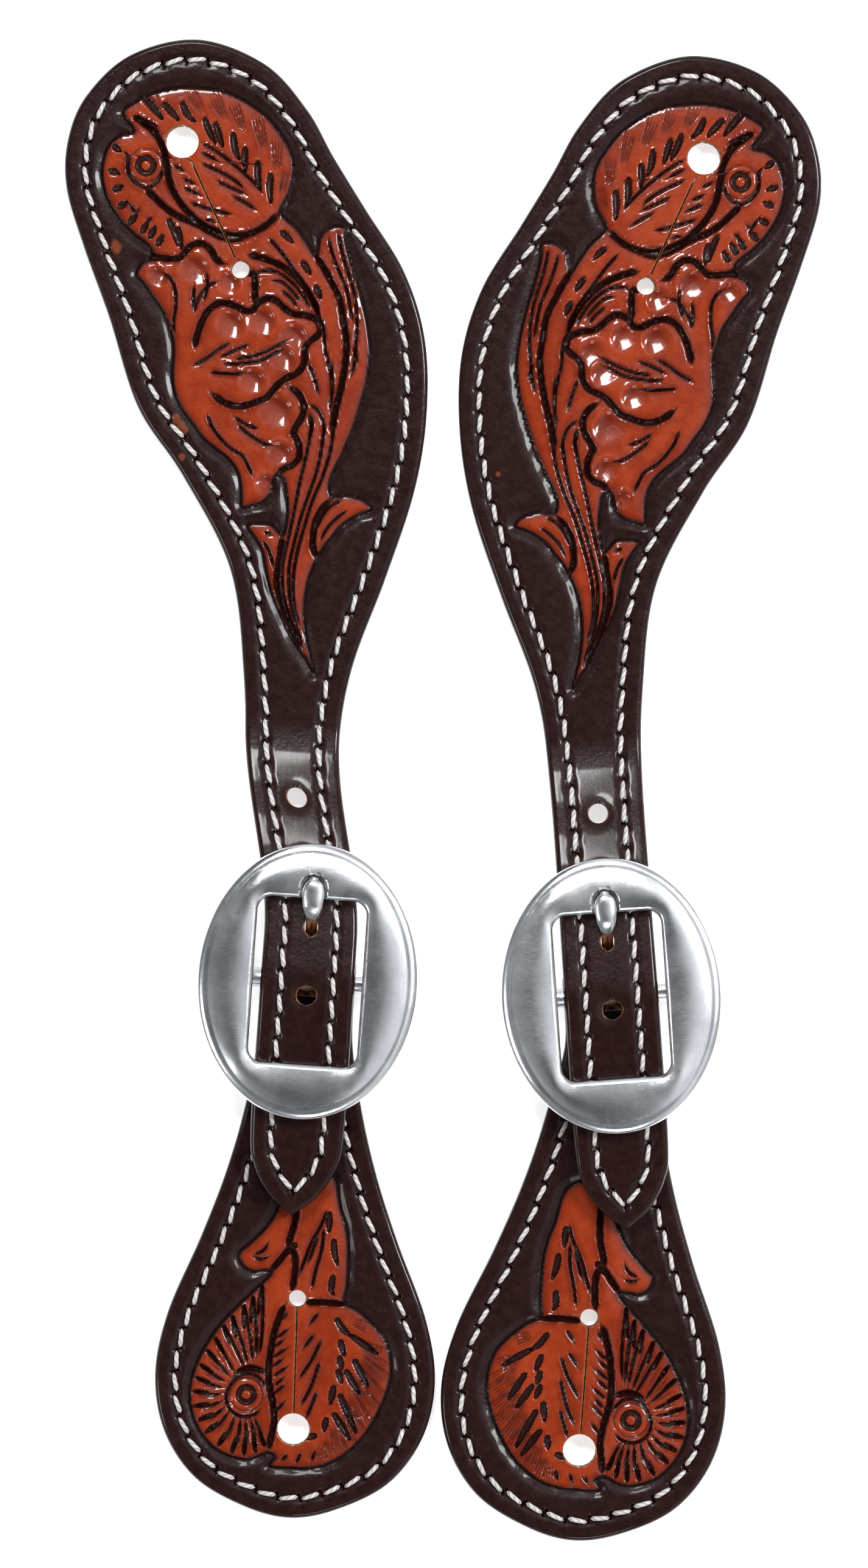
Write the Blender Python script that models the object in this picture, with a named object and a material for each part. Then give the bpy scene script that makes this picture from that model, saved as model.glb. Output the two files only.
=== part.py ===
"""A pair of western spur straps with cart buckles, fastened and lying face up.

Each strap is a long wing strap, whose billet runs through a buckle, and a short heel strap,
which folds round the buckle's bar. Both are two layers of leather sewn together, and each
ends in a button hole with a slit and a relief hole. A strap is drawn in millimetres in its
own frame: the bar runs along X through (0, 0, BAR_HEIGHT), and the wing lies towards +Y.
The right strap is the mirror image of the left one, laid at its own angle.
"""

import math

import bmesh
import bpy
import numpy as np

MM = 0.001
GAP = 0.3

# Leather
LINING = 1.5
FACE = 2.4
FOLD = 2.0
LEATHER = LINING + GAP + FACE
EDGE_ROUND = 0.6
OUTLINE_STEP = 7.4
FOLD_STEP = 1.0
FOLD_END = 11.0
SKIVE_FROM, SKIVE_TO = -24.0, -6.0

# Seams
SEAM_INSET = 3.6
GROOVE_WIDTH = 1.5
GROOVE_SLOPE = 0.15
FACE_GROOVE = 1.1
LINING_GROOVE = 0.95
NEEDLE_THREAD = 0.4
BOBBIN_THREAD = 0.3
SHORT_SEAM_START = -15.0
SHORT_SEAM_FADE = 1.5
BOBBIN_CLEARANCE = 0.05

# Buckle
BAR_RADIUS = 1.8
BAR_HEIGHT = 4.1
PLATE_HALF = (19.95, 25.05)
PLATE_BACK = 11.4
PLATE_THICK = 2.5
WINDOW_HALF = (9.9, 15.05)
WINDOW_CORNER = 2.6
LUG_INNER = 10.2
LUG_WIDTH = 3.4
LUG_DEPTH = 4.4
NOTCH_HALF = 2.35
NOTCH_END = 19.3
NOTCH_FLOOR = 12.3
NOTCH_START = 10.0
WINDOW_BEVEL_RUN, WINDOW_BEVEL_FALL = 0.5, 0.35
WINDOW_WALL_FALL = 0.8
CROWN_SHARE = 0.45
RIM_RUN, RIM_FALL = 1.2, 0.7
RIM_WALL_FALL = 1.5
BACK_ROUND_RUN, BACK_ROUND_RISE = 0.4, 0.3
LUG_INTO_PLATE = 0.8
# Places round a quarter of the plate, in radians, closer together at the window's corners
QUARTER_TURNS = (0.0, 0.16, 0.32, 0.5, 0.68, 0.84, 0.93, 0.99, 1.05, 1.14, 1.28, 1.43)
BAR_SIDES = 16
NOTCH_SIDES = 9

# Tongue
EYE_WALL = 1.35
EYE_WIDTH = 4.4
EYE_SIDES = 18
EYE_BORE_MARGIN = 2.0
PRONG_SIDES = 8
PRONG_SQUARENESS = 1.08
SLOT_HALF = 2.7
SLOT_START, SLOT_END = -4.4, 6.0

# Holes
BUTTON_RADIUS = 3.0
RELIEF_RADIUS = 1.6
SLIT_HALF = 0.25
BILLET_RADIUS = 1.8
BILLET_HOLES = (33.1, 21.5, -2.55)
TONGUE_HOLE = (9.7, 9.45)
TONGUE_HOLE_STRETCH = 1.4
TONGUE_HOLE_TILT = 32.0
WING_HOLES = ((-27.6, 150.8), (-15.4, 128.3))
HEEL_HOLES = ((0.0, -83.0), (0.0, -58.8))
BUTTON_SIDES, RELIEF_SIDES, BILLET_SIDES = 20, 13, 14
CUTTER_LOW, CUTTER_HIGH = -3.0, 18.0
TONGUE_CUTTER_REACH = 5.0

# Outlines, as pairs of points on the left and right edges from the tip up
LONG_EDGES = (
    ((0.0, -42.7), (0.0, -42.7)),
    ((-4.3, -39.2), (4.3, -39.2)),
    ((-7.4, -34.0), (7.4, -34.0)),
    ((-8.5, -27.0), (8.5, -27.0)),
    ((-8.5, 0.0), (8.5, 0.0)),
    ((-8.5, 38.0), (8.4, 38.0)),
    ((-9.9, 56.0), (9.7, 56.0)),
    ((-13.6, 74.0), (14.9, 74.0)),
    ((-23.2, 90.0), (19.0, 90.0)),
    ((-32.3, 102.0), (20.3, 104.0)),
    ((-38.7, 118.0), (19.0, 118.0)),
    ((-44.0, 130.0), (14.4, 130.0)),
    ((-48.1, 141.0), (6.5, 141.0)),
    ((-48.4, 150.0), (0.1, 150.0)),
    ((-45.5, 158.2), (-5.3, 158.2)),
    ((-38.0, 166.0), (-13.6, 166.0)),
    ((-26.0, 169.6), (-26.0, 169.6)),
)
SHORT_HALF_WIDTHS = (
    (-99.4, 0.0),
    (-97.6, 8.5),
    (-92.5, 17.9),
    (-84.0, 23.9),
    (-73.5, 25.9),
    (-62.0, 23.9),
    (-48.0, 18.3),
    (-36.0, 14.05),
    (-24.0, 10.9),
    (-12.0, 8.9),
    (0.0, 8.6),
    (9.7, 8.6),
    (24.0, 7.8),
    (28.5, 4.6),
    (29.7, 0.0),
)
LINING_START = -24.0
LINING_DROP = 0.12
LINING_CORNER = 2.0

# Height of the billet's underside, and of the short strap's top, along the strap
BILLET_REST = (
    (-44.0, 4.55),
    (-36.0, 4.8),
    (-29.0, 5.4),
    (-22.0, 6.3),
    (-14.0, 6.8),
    (-7.0, 7.75),
    (0.0, 8.5),
    (7.0, 7.75),
    (14.0, 6.8),
    (22.0, 6.3),
    (29.0, 4.6),
    (36.0, 2.2),
    (42.0, 0.6),
    (47.0, 0.0),
)
SHORT_TOP = (
    (-44.0, 4.2),
    (-36.0, 4.4),
    (-29.0, 5.0),
    (-22.0, 5.9),
    (-14.0, 6.4),
    (-7.0, 7.3),
    (-3.0, 8.0),
    (0.0, 8.2),
)

# Tongue: distance along the strap, height, half width and half thickness
TONGUE_PATH = (
    (0.6, 6.85, 2.1, 0.6),
    (4.2, 6.45, 1.9, 0.6),
    (7.2, 6.3, 1.4, 0.7),
    (9.0, 7.3, 1.1, 0.8),
    (10.3, 9.6, 1.05, 0.8),
    (11.6, 11.9, 1.2, 0.75),
    (13.5, 13.25, 1.75, 0.75),
    (16.1, 13.5, 2.0, 0.75),
    (17.7, 13.5, 1.6, 0.7),
    (18.5, 13.4, 0.8, 0.4),
)

# How each strap lies: the bar's middle, the buckle's turn, the billet's sway, and the short
# strap's lean and its size against the drawing
SIDES = {
    "left": {
        "mirror": 1,
        "bar": (-24.61, -34.7),
        "turn": -4.0,
        "sway": -5.9,
        "lean": 2.2,
        "short_size": 0.985,
    },
    "right": {
        "mirror": -1,
        "bar": (30.49, -37.3),
        "turn": 4.0,
        "sway": 0.0,
        "lean": 8.2,
        "short_size": 1.003,
    },
}
SWAY_FROM, SWAY_TO = 8.0, 46.0
LEAN_ABOUT, LEAN_TO = -3.0, -18.0

MATERIALS = {
    "tooled_leather": ((0.16, 0.045, 0.018, 1.0), 0.4, 0.0),
    "lining_leather": ((0.12, 0.05, 0.025, 1.0), 0.65, 0.0),
    "waxed_thread": ((0.68, 0.66, 0.6, 1.0), 0.55, 0.0),
    "stainless_steel": ((0.62, 0.63, 0.65, 1.0), 0.22, 1.0),
}


def clear_scene():
    for obj in list(bpy.data.objects):
        bpy.data.objects.remove(obj)


def make_materials():
    made = {}
    for name, (colour, roughness, metallic) in MATERIALS.items():
        material = bpy.data.materials.new(name)
        material.use_nodes = True
        shader = material.node_tree.nodes["Principled BSDF"]
        shader.inputs["Base Color"].default_value = colour
        shader.inputs["Roughness"].default_value = roughness
        shader.inputs["Metallic"].default_value = metallic
        material.diffuse_color = colour
        made[name] = material
    return made


def smooth(start, end, at):
    """0 before start, 1 past end, and a smooth ramp between."""
    t = np.clip((np.asarray(at, float) - start) / (end - start), 0.0, 1.0)
    return t * t * (3.0 - 2.0 * t)


def through(points, at):
    """The values of a smooth curve through (position, value) points, level past both ends."""
    position, value = np.array(points, float).T
    slope = np.gradient(value, position)
    slope[0] = slope[-1] = 0.0
    at = np.clip(at, position[0], position[-1])
    i = np.clip(np.searchsorted(position, at) - 1, 0, len(position) - 2)
    width = position[i + 1] - position[i]
    t = (at - position[i]) / width
    rise = (3.0 - 2.0 * t) * t * t
    return (
        value[i] * (1.0 - rise)
        + value[i + 1] * rise
        + width * slope[i] * t * (1.0 - t) ** 2
        - width * slope[i + 1] * t * t * (1.0 - t)
    )


def edge_curve(points, counts):
    """A curve through the points with the given number of steps in each span."""
    points = np.array(points, float)
    padded = np.vstack([2 * points[0] - points[1], points, 2 * points[-1] - points[-2]])
    made = [points[:1]]
    for i, count in enumerate(counts):
        before, start, end, after = padded[i : i + 4]
        t = (np.arange(1, count + 1) / count)[:, None]
        made.append(
            start
            + 0.5 * t * (end - before)
            + t * t * (before - 2.5 * start + 2.0 * end - 0.5 * after)
            + 0.5 * t**3 * (3.0 * start - 3.0 * end + after - before)
        )
    return np.vstack(made)


def outline(left, right, steps=OUTLINE_STEP):
    """A closed loop from the lowest point up the right edge and down the left edge."""
    left, right = np.array(left, float), np.array(right, float)
    spans = np.maximum(
        np.linalg.norm(np.diff(left, axis=0), axis=1),
        np.linalg.norm(np.diff(right, axis=0), axis=1),
    )
    counts = np.maximum(1, np.rint(spans / steps)).astype(int)
    up = edge_curve(right, counts)
    down = edge_curve(left, counts)[::-1]
    return np.vstack([up, down[1:-1]])


def inset(loop, distance):
    """The loop moved inwards by a distance, with mitred corners."""
    ahead = np.roll(loop, -1, axis=0) - loop
    ahead /= np.linalg.norm(ahead, axis=1)[:, None]
    inward = np.column_stack([-ahead[:, 1], ahead[:, 0]])
    before = np.roll(inward, 1, axis=0)
    total = inward + before
    return loop + distance * total / (1.0 + (inward * before).sum(axis=1))[:, None]


def ladder(count, first, flip):
    """Faces that close a loop of points by rungs between its right and left edges."""
    half = count // 2
    faces = [[0, 1, count - 1]]
    faces += [[i, i + 1, count - i - 1, count - i] for i in range(1, half - 1)]
    faces += [[half - 1, half, half + 1]]
    return [[first + i for i in (face[::-1] if flip else face)] for face in faces]


def strips(loops, count, closed_loop, closed_around):
    """Quads between neighbouring loops of points."""
    faces = []
    for j in range(loops if closed_around else loops - 1):
        here, there = j * count, (j + 1) % loops * count
        for i in range(count if closed_loop else count - 1):
            k = (i + 1) % count
            faces.append([here + i, here + k, there + k, there + i])
    return faces


def add_object(name, points, faces, material, parent, mirror=1):
    """A mesh object from points in millimetres in the strap's frame."""
    points = np.array(points, float) * MM * (mirror, 1, 1)
    mesh = bpy.data.meshes.new(name)
    mesh.from_pydata(points.tolist(), [], faces)
    work = bmesh.new()
    work.from_mesh(mesh)
    bmesh.ops.recalc_face_normals(work, faces=work.faces)
    bmesh.ops.triangulate(work, faces=work.faces)
    work.to_mesh(mesh)
    work.free()
    obj = bpy.data.objects.new(name, mesh)
    bpy.context.scene.collection.objects.link(obj)
    obj.parent = parent
    if material:
        mesh.materials.append(material)
        mesh.shade_smooth()
        mesh.set_sharp_from_angle(angle=math.radians(35))
    return obj


def boolean(obj, tool, operation):
    """Cuts the tool from the object or joins it on, and hides the tool."""
    modifier = obj.modifiers.new(operation.title(), "BOOLEAN")
    modifier.operation = operation
    modifier.object = tool
    tool.hide_render = True
    tool.display_type = "WIRE"


def prism(outlines, low, high, shear=None):
    """Points and faces of upright prisms. A shear moves the top along Y."""
    points, faces = [], []
    for loop in outlines:
        first, count = len(points), len(loop)
        for height in (low, high):
            slide = 0.0 if shear is None else shear * (height - (low + high) / 2)
            points += [(x, y + slide, height) for x, y in loop]
        faces.append([first + i for i in range(count)][::-1])
        faces.append([first + count + i for i in range(count)])
        for i in range(count):
            k = (i + 1) % count
            faces.append([first + i, first + k, first + count + k, first + count + i])
    return points, faces


def circle(centre, radius, count):
    angles = (np.arange(count) + 0.3) * 2 * math.pi / count
    return np.array(centre) + radius * np.column_stack([np.cos(angles), np.sin(angles)])


def keyhole(big, small):
    """A button hole joined by a slit to its relief hole."""
    big, small = np.array(big), np.array(small)
    along = (small - big) / np.linalg.norm(small - big)
    start = math.atan2(along[1], along[0])
    points = []
    for centre, radius, facing, count in (
        (big, BUTTON_RADIUS, start, BUTTON_SIDES),
        (small, RELIEF_RADIUS, start + math.pi, RELIEF_SIDES),
    ):
        mouth = math.asin(SLIT_HALF / radius)
        for angle in np.linspace(facing + mouth, facing + 2 * math.pi - mouth, count):
            points.append(centre + radius * np.array([math.cos(angle), math.sin(angle)]))
    return np.array(points)


class Strap:
    """One strap of the pair: how its pieces are bent, laid and named."""

    def __init__(self, side, materials):
        self.side = side
        self.materials = materials
        self.mirror = SIDES[side]["mirror"]
        self.sway = SIDES[side]["sway"]
        self.lean = math.radians(SIDES[side]["lean"])
        self.short_size = SIDES[side]["short_size"]
        self.place = bpy.data.objects.new(side + "_strap_place", None)
        bpy.context.scene.collection.objects.link(self.place)
        x, y = SIDES[side]["bar"]
        self.place.location = (x * MM, y * MM, 0.0)
        self.place.rotation_euler.z = math.radians(SIDES[side]["turn"])

    def add(self, name, points, faces, material, parent=None):
        shader = self.materials[material] if material else None
        full_name = self.side + "_" + name
        return add_object(full_name, points, faces, shader, parent or self.place, self.mirror)

    def long_points(self, flat, height):
        """Lays flat points of the long strap at a height above its underside."""
        x, y = np.array(flat, float).T
        return np.column_stack(
            [x + self.sway * smooth(SWAY_FROM, SWAY_TO, y), y, through(BILLET_REST, y) + height]
        )

    def short_plan(self, x, y):
        """Turns points of the short strap about its bar end by the lean, and sizes them."""
        turn = self.lean * smooth(LEAN_ABOUT, LEAN_TO, y)
        size = 1.0 + (self.short_size - 1.0) * smooth(LEAN_ABOUT, LEAN_TO, y)
        x = x * size
        along = (y - LEAN_ABOUT) * size
        return (
            x * np.cos(turn) - along * np.sin(turn),
            LEAN_ABOUT + x * np.sin(turn) + along * np.cos(turn),
        )

    def short_points(self, flat, depth):
        """Bends flat points of the short strap round the bar, at a depth under its top."""
        x, along = np.array(flat, float).T
        depth = np.broadcast_to(depth, x.shape)
        front_x, front_y = self.short_plan(x, along)
        outer = BAR_HEIGHT
        turn_length = math.pi * (outer - FOLD / 2)
        angle = np.clip(along / turn_length, 0.0, 1.0) * math.pi
        back = np.maximum(along - turn_length, 0.0)
        radius = outer - depth
        y = np.where(along < 0, front_y, radius * np.sin(angle) - back)
        z = np.where(
            along < 0, through(SHORT_TOP, front_y) - depth, BAR_HEIGHT + radius * np.cos(angle)
        )
        return np.column_stack([np.where(along < 0, front_x, x), y, z])

    def keyhole_tool(self, name, holes, bend, extra=()):
        """A cutter for a button hole, its slit and relief hole, and any further outlines."""
        loops = [bend(keyhole(*holes), 0.0)[:, :2]]
        loops += [bend(loop, 0.0)[:, :2] for loop in extra]
        points, faces = prism(loops, CUTTER_LOW, CUTTER_HIGH)
        return self.add(name, points, faces, None)


def solid_between(rings):
    """Points and faces of a layer whose loops run from its lower cap to its upper cap."""
    count = len(rings[0])
    faces = strips(len(rings), count, True, False)
    faces += ladder(count, 0, True)
    faces += ladder(count, (len(rings) - 1) * count, False)
    return np.vstack(rings), faces


def thread(rings, closed):
    """Points and faces of a thread from its four long edges."""
    count = len(rings[0])
    faces = strips(4, count, closed, True)
    if not closed:
        faces.append([j * count for j in range(4)])
        faces.append([j * count + count - 1 for j in range(4)][::-1])
    return np.vstack(rings), faces


def groove_insets():
    outer = SEAM_INSET - GROOVE_WIDTH / 2
    inner = SEAM_INSET + GROOVE_WIDTH / 2
    return outer, outer + GROOVE_SLOPE, inner - GROOVE_SLOPE, inner


def long_layers(strap):
    loop = outline([left for left, _ in LONG_EDGES], [right for _, right in LONG_EDGES])
    outer, floor_outer, floor_inner, inner = groove_insets()
    bottom = LINING + GAP

    def ring(distance, height):
        return strap.long_points(inset(loop, distance), height)

    face = [
        ring(0.0, bottom),
        ring(0.0, LEATHER - EDGE_ROUND),
        ring(EDGE_ROUND, LEATHER),
        ring(outer, LEATHER),
        ring(floor_outer, LEATHER - FACE_GROOVE),
        ring(floor_inner, LEATHER - FACE_GROOVE),
        ring(inner, LEATHER),
    ]
    lining = [
        ring(inner, 0.0),
        ring(floor_inner, LINING_GROOVE),
        ring(floor_outer, LINING_GROOVE),
        ring(outer, 0.0),
        ring(0.0, 0.0),
        ring(0.0, LINING),
    ]
    pieces = [
        strap.add("long_face", *solid_between(face), "tooled_leather"),
        strap.add("long_lining", *solid_between(lining), "lining_leather"),
    ]
    holes = [circle((0.0, y), BILLET_RADIUS, BILLET_SIDES) for y in BILLET_HOLES]
    tool = strap.keyhole_tool("wing_cutter", WING_HOLES, strap.long_points, holes)
    tongue_tool = tongue_hole_tool(strap)
    for piece in pieces:
        boolean(piece, tool, "DIFFERENCE")
        boolean(piece, tongue_tool, "DIFFERENCE")
    for name, radius, height in (
        ("long_needle_thread", NEEDLE_THREAD, LEATHER - NEEDLE_THREAD),
        ("long_bobbin_thread", BOBBIN_THREAD, BOBBIN_THREAD + BOBBIN_CLEARANCE),
    ):
        tube = [
            ring(SEAM_INSET - radius, height),
            ring(SEAM_INSET, height + radius),
            ring(SEAM_INSET + radius, height),
            ring(SEAM_INSET, height - radius),
        ]
        strap.add(name, *thread(tube, True), "waxed_thread")


def tongue_hole_tool(strap):
    """A cutter along the tongue's slant, where the tongue has dragged its hole over."""
    y, z = TONGUE_HOLE
    loop = circle((0.0, 0.0), BILLET_RADIUS, BILLET_SIDES) * (1.0, TONGUE_HOLE_STRETCH) + (0.0, y)
    low, high = z - TONGUE_CUTTER_REACH, z + TONGUE_CUTTER_REACH
    points, faces = prism([loop], low, high, math.tan(math.radians(TONGUE_HOLE_TILT)))
    return strap.add("tongue_hole_cutter", points, faces, None)


def short_layers(strap):
    halves = np.array(SHORT_HALF_WIDTHS)
    right = np.column_stack([halves[:, 1], halves[:, 0]])
    left = right * (-1, 1)
    bent = (halves[:-1, 0] >= 0.0) & (halves[1:, 0] < FOLD_END)
    loop = outline(left, right, np.where(bent, FOLD_STEP, OUTLINE_STEP))
    outer, floor_outer, floor_inner, inner = groove_insets()

    def ring(distance, depth, groove=0.0):
        flat = inset(loop, distance)
        sewn = smooth(
            SHORT_SEAM_START + SHORT_SEAM_FADE, SHORT_SEAM_START - SHORT_SEAM_FADE, flat[:, 1]
        )
        return strap.short_points(flat, depth + groove * sewn)

    thickness = FOLD + (FACE - FOLD) * smooth(SKIVE_TO, SKIVE_FROM, loop[:, 1])
    face = [
        ring(0.0, thickness),
        ring(0.0, EDGE_ROUND),
        ring(EDGE_ROUND, 0.0),
        ring(outer, 0.0),
        ring(floor_outer, 0.0, FACE_GROOVE),
        ring(floor_inner, 0.0, FACE_GROOVE),
        ring(inner, 0.0),
    ]
    piece = strap.add("short_face", *solid_between(face), "tooled_leather")
    tool = strap.keyhole_tool("heel_cutter", HEEL_HOLES, strap.short_points)
    boolean(piece, tool, "DIFFERENCE")
    slot = [(-SLOT_HALF, SLOT_START), (SLOT_HALF, SLOT_START)]
    slot += [(SLOT_HALF, SLOT_END), (-SLOT_HALF, SLOT_END)]
    slot_points, slot_faces = prism([slot], CUTTER_LOW, PLATE_BACK)
    boolean(piece, strap.add("slot_cutter", slot_points, slot_faces, None), "DIFFERENCE")

    above = np.nonzero(loop[:, 1] >= SHORT_SEAM_START)[0]
    order = np.r_[above[-1] + 1 : len(loop), 0 : above[0]]

    def run(distance, depth):
        flat = inset(loop, distance)[order]
        return strap.short_points(flat, depth)

    radius = NEEDLE_THREAD
    tube = [
        run(SEAM_INSET - radius, radius),
        run(SEAM_INSET, 0.0),
        run(SEAM_INSET + radius, radius),
        run(SEAM_INSET, 2 * radius),
    ]
    strap.add("short_needle_thread", *thread(tube, False), "waxed_thread")
    short_lining(strap, tool, halves)


def short_lining(strap, tool, halves):
    """The layer under the flat part of the short strap, with the seam's back thread."""
    kept = halves[halves[:, 0] < LINING_START - LINING_CORNER / 2]
    half_width = through(halves, LINING_START)
    corner = [
        (half_width, LINING_START - LINING_CORNER),
        (half_width - LINING_CORNER, LINING_START),
    ]
    right = np.vstack([kept[:, ::-1], corner, [(0.0, LINING_START)]])
    loop = outline(right * (-1, 1), right)
    outer, floor_outer, floor_inner, inner = groove_insets()

    def ring(distance, height):
        flat = inset(loop, distance)
        x, y = strap.short_plan(*flat.T)
        lift = through(SHORT_TOP, y) - LEATHER - LINING_DROP
        return np.column_stack([x, y, height + np.maximum(lift, 0.0)])

    lining = [
        ring(inner, 0.0),
        ring(floor_inner, LINING_GROOVE),
        ring(floor_outer, LINING_GROOVE),
        ring(outer, 0.0),
        ring(0.0, 0.0),
        ring(0.0, LINING),
    ]
    piece = strap.add("short_lining", *solid_between(lining), "lining_leather")
    boolean(piece, tool, "DIFFERENCE")
    radius = BOBBIN_THREAD
    height = radius + BOBBIN_CLEARANCE
    tube = [
        ring(SEAM_INSET - radius, height),
        ring(SEAM_INSET, height + radius),
        ring(SEAM_INSET + radius, height),
        ring(SEAM_INSET, height - radius),
    ]
    strap.add("short_bobbin_thread", *thread(tube, True), "waxed_thread")


def window_loop(angles):
    """The window's outline, a rectangle with round corners, met along the given angles."""
    half_x, half_y = WINDOW_HALF
    core = np.array([half_x - WINDOW_CORNER, half_y - WINDOW_CORNER])
    loop = []
    for angle in angles:
        ray = np.array([math.cos(angle), math.sin(angle)])
        low, high = 0.0, half_x + half_y
        for _ in range(30):
            middle = (low + high) / 2
            over = np.maximum(np.abs(ray * middle) - core, 0.0)
            inside = np.linalg.norm(over) < WINDOW_CORNER
            low, high = (middle, high) if inside else (low, middle)
        loop.append(ray * low)
    return np.array(loop)


def buckle_frame(strap):
    quarter = list(QUARTER_TURNS)
    angles = quarter + [math.pi / 2] + [math.pi - a for a in quarter[:0:-1]]
    angles += [math.pi + a for a in angles]
    inner = window_loop(angles)
    outer = np.column_stack([np.cos(angles), np.sin(angles)])
    outer *= (1.0 / np.linalg.norm(outer / PLATE_HALF, axis=1))[:, None]
    top = PLATE_BACK + PLATE_THICK

    def ring(share, height, shrink=0.0):
        flat = inner + (outer - inner) * share
        pull = flat / np.linalg.norm(flat, axis=1)[:, None] * shrink
        return np.column_stack([flat - pull, np.full(len(flat), height)])

    rings = [
        ring(0.0, PLATE_BACK),
        ring(0.0, top - WINDOW_WALL_FALL),
        ring(0.0, top - WINDOW_BEVEL_FALL, -WINDOW_BEVEL_RUN),
        ring(CROWN_SHARE, top),
        ring(1.0, top - RIM_FALL, RIM_RUN),
        ring(1.0, top - RIM_WALL_FALL),
        ring(1.0, PLATE_BACK + BACK_ROUND_RISE),
        ring(1.0, PLATE_BACK, BACK_ROUND_RUN),
    ]
    faces = strips(len(rings), len(angles), True, True)
    frame = strap.add("buckle_frame", np.vstack(rings), faces, "stainless_steel")

    for sign, label in ((1, "inner"), (-1, "outer")):
        low, high = sorted((sign * LUG_INNER, sign * (LUG_INNER + LUG_WIDTH)))
        half = LUG_DEPTH / 2
        foot = [(low, -half), (high, -half), (high, half), (low, half)]
        points, faces = prism([foot], BAR_HEIGHT - BAR_RADIUS, PLATE_BACK + LUG_INTO_PLATE)
        boolean(frame, strap.add(label + "_lug_block", points, faces, None), "UNION")
    reach = LUG_INNER + LUG_WIDTH / 2
    points, faces = lying_cylinder(BAR_RADIUS, -reach, reach, BAR_SIDES)
    boolean(frame, strap.add("bar_rod", points, faces, None), "UNION")

    arc = [(NOTCH_HALF * math.cos(a), NOTCH_END - NOTCH_HALF + NOTCH_HALF * math.sin(a))
           for a in np.linspace(0.0, math.pi, NOTCH_SIDES)]
    notch = [(NOTCH_HALF, NOTCH_START)] + arc + [(-NOTCH_HALF, NOTCH_START)]
    points, faces = prism([notch], NOTCH_FLOOR, CUTTER_HIGH)
    boolean(frame, strap.add("notch_cutter", points, faces, None), "DIFFERENCE")


def lying_cylinder(radius, start, end, count, centre=(0.0, BAR_HEIGHT)):
    """Points and faces of a cylinder along X."""
    angles = np.arange(count) * 2 * math.pi / count
    points = [
        (x, centre[0] + radius * math.sin(a), centre[1] + radius * math.cos(a))
        for x in (start, end)
        for a in angles
    ]
    faces = strips(2, count, True, False)
    faces += [list(range(count)), list(range(count, 2 * count))[::-1]]
    return points, faces


def buckle_tongue(strap):
    """The tongue: an eye round the bar, and a prong that ends in a round bulb."""
    outer = BAR_RADIUS + GAP + EYE_WALL
    pivot = bpy.data.objects.new(strap.side + "_tongue_pivot", None)
    bpy.context.scene.collection.objects.link(pivot)
    pivot.parent = strap.place
    pivot.location.z = BAR_HEIGHT * MM

    path = np.array(TONGUE_PATH)
    centre = path[:, :2] - (0.0, BAR_HEIGHT)
    tangent = np.gradient(centre, axis=0)
    tangent /= np.linalg.norm(tangent, axis=1)[:, None]
    normal = np.column_stack([-tangent[:, 1], tangent[:, 0]])
    sections = []
    for k in range(PRONG_SIDES):
        angle = (k + 0.5) * 2 * math.pi / PRONG_SIDES
        across = path[:, 2] * np.clip(math.cos(angle) * PRONG_SQUARENESS, -1, 1)
        up = (path[:, 3] * np.clip(math.sin(angle) * PRONG_SQUARENESS, -1, 1))[:, None] * normal
        sections.append(np.column_stack([across, centre + up]))
    count = len(path)
    faces = strips(PRONG_SIDES, count, False, True)
    first = [j * count for j in range(PRONG_SIDES)]
    faces += [first, [j + count - 1 for j in first][::-1]]
    prong = strap.add("buckle_tongue", np.vstack(sections), faces, "stainless_steel", pivot)

    half = EYE_WIDTH / 2
    points, faces = lying_cylinder(outer, -half, half, EYE_SIDES, (0.0, 0.0))
    boolean(prong, strap.add("eye_disc", points, faces, None, pivot), "UNION")
    reach = half + EYE_BORE_MARGIN
    points, faces = lying_cylinder(BAR_RADIUS + GAP, -reach, reach, EYE_SIDES, (0.0, 0.0))
    boolean(prong, strap.add("eye_bore", points, faces, None, pivot), "DIFFERENCE")


def main():
    clear_scene()
    materials = make_materials()
    for side in SIDES:
        strap = Strap(side, materials)
        long_layers(strap)
        short_layers(strap)
        buckle_frame(strap)
        buckle_tongue(strap)


main()
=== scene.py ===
"""A pair of western spur straps: carved two-tone leather, waxed thread and steel cart buckles.

Each strap is drawn in millimetres in its own frame, where the buckle's bar runs along X through
(0, 0, BAR_HEIGHT) and the wing lies towards +Y, and is then mirrored, turned and laid in place.
"""

import math

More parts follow.
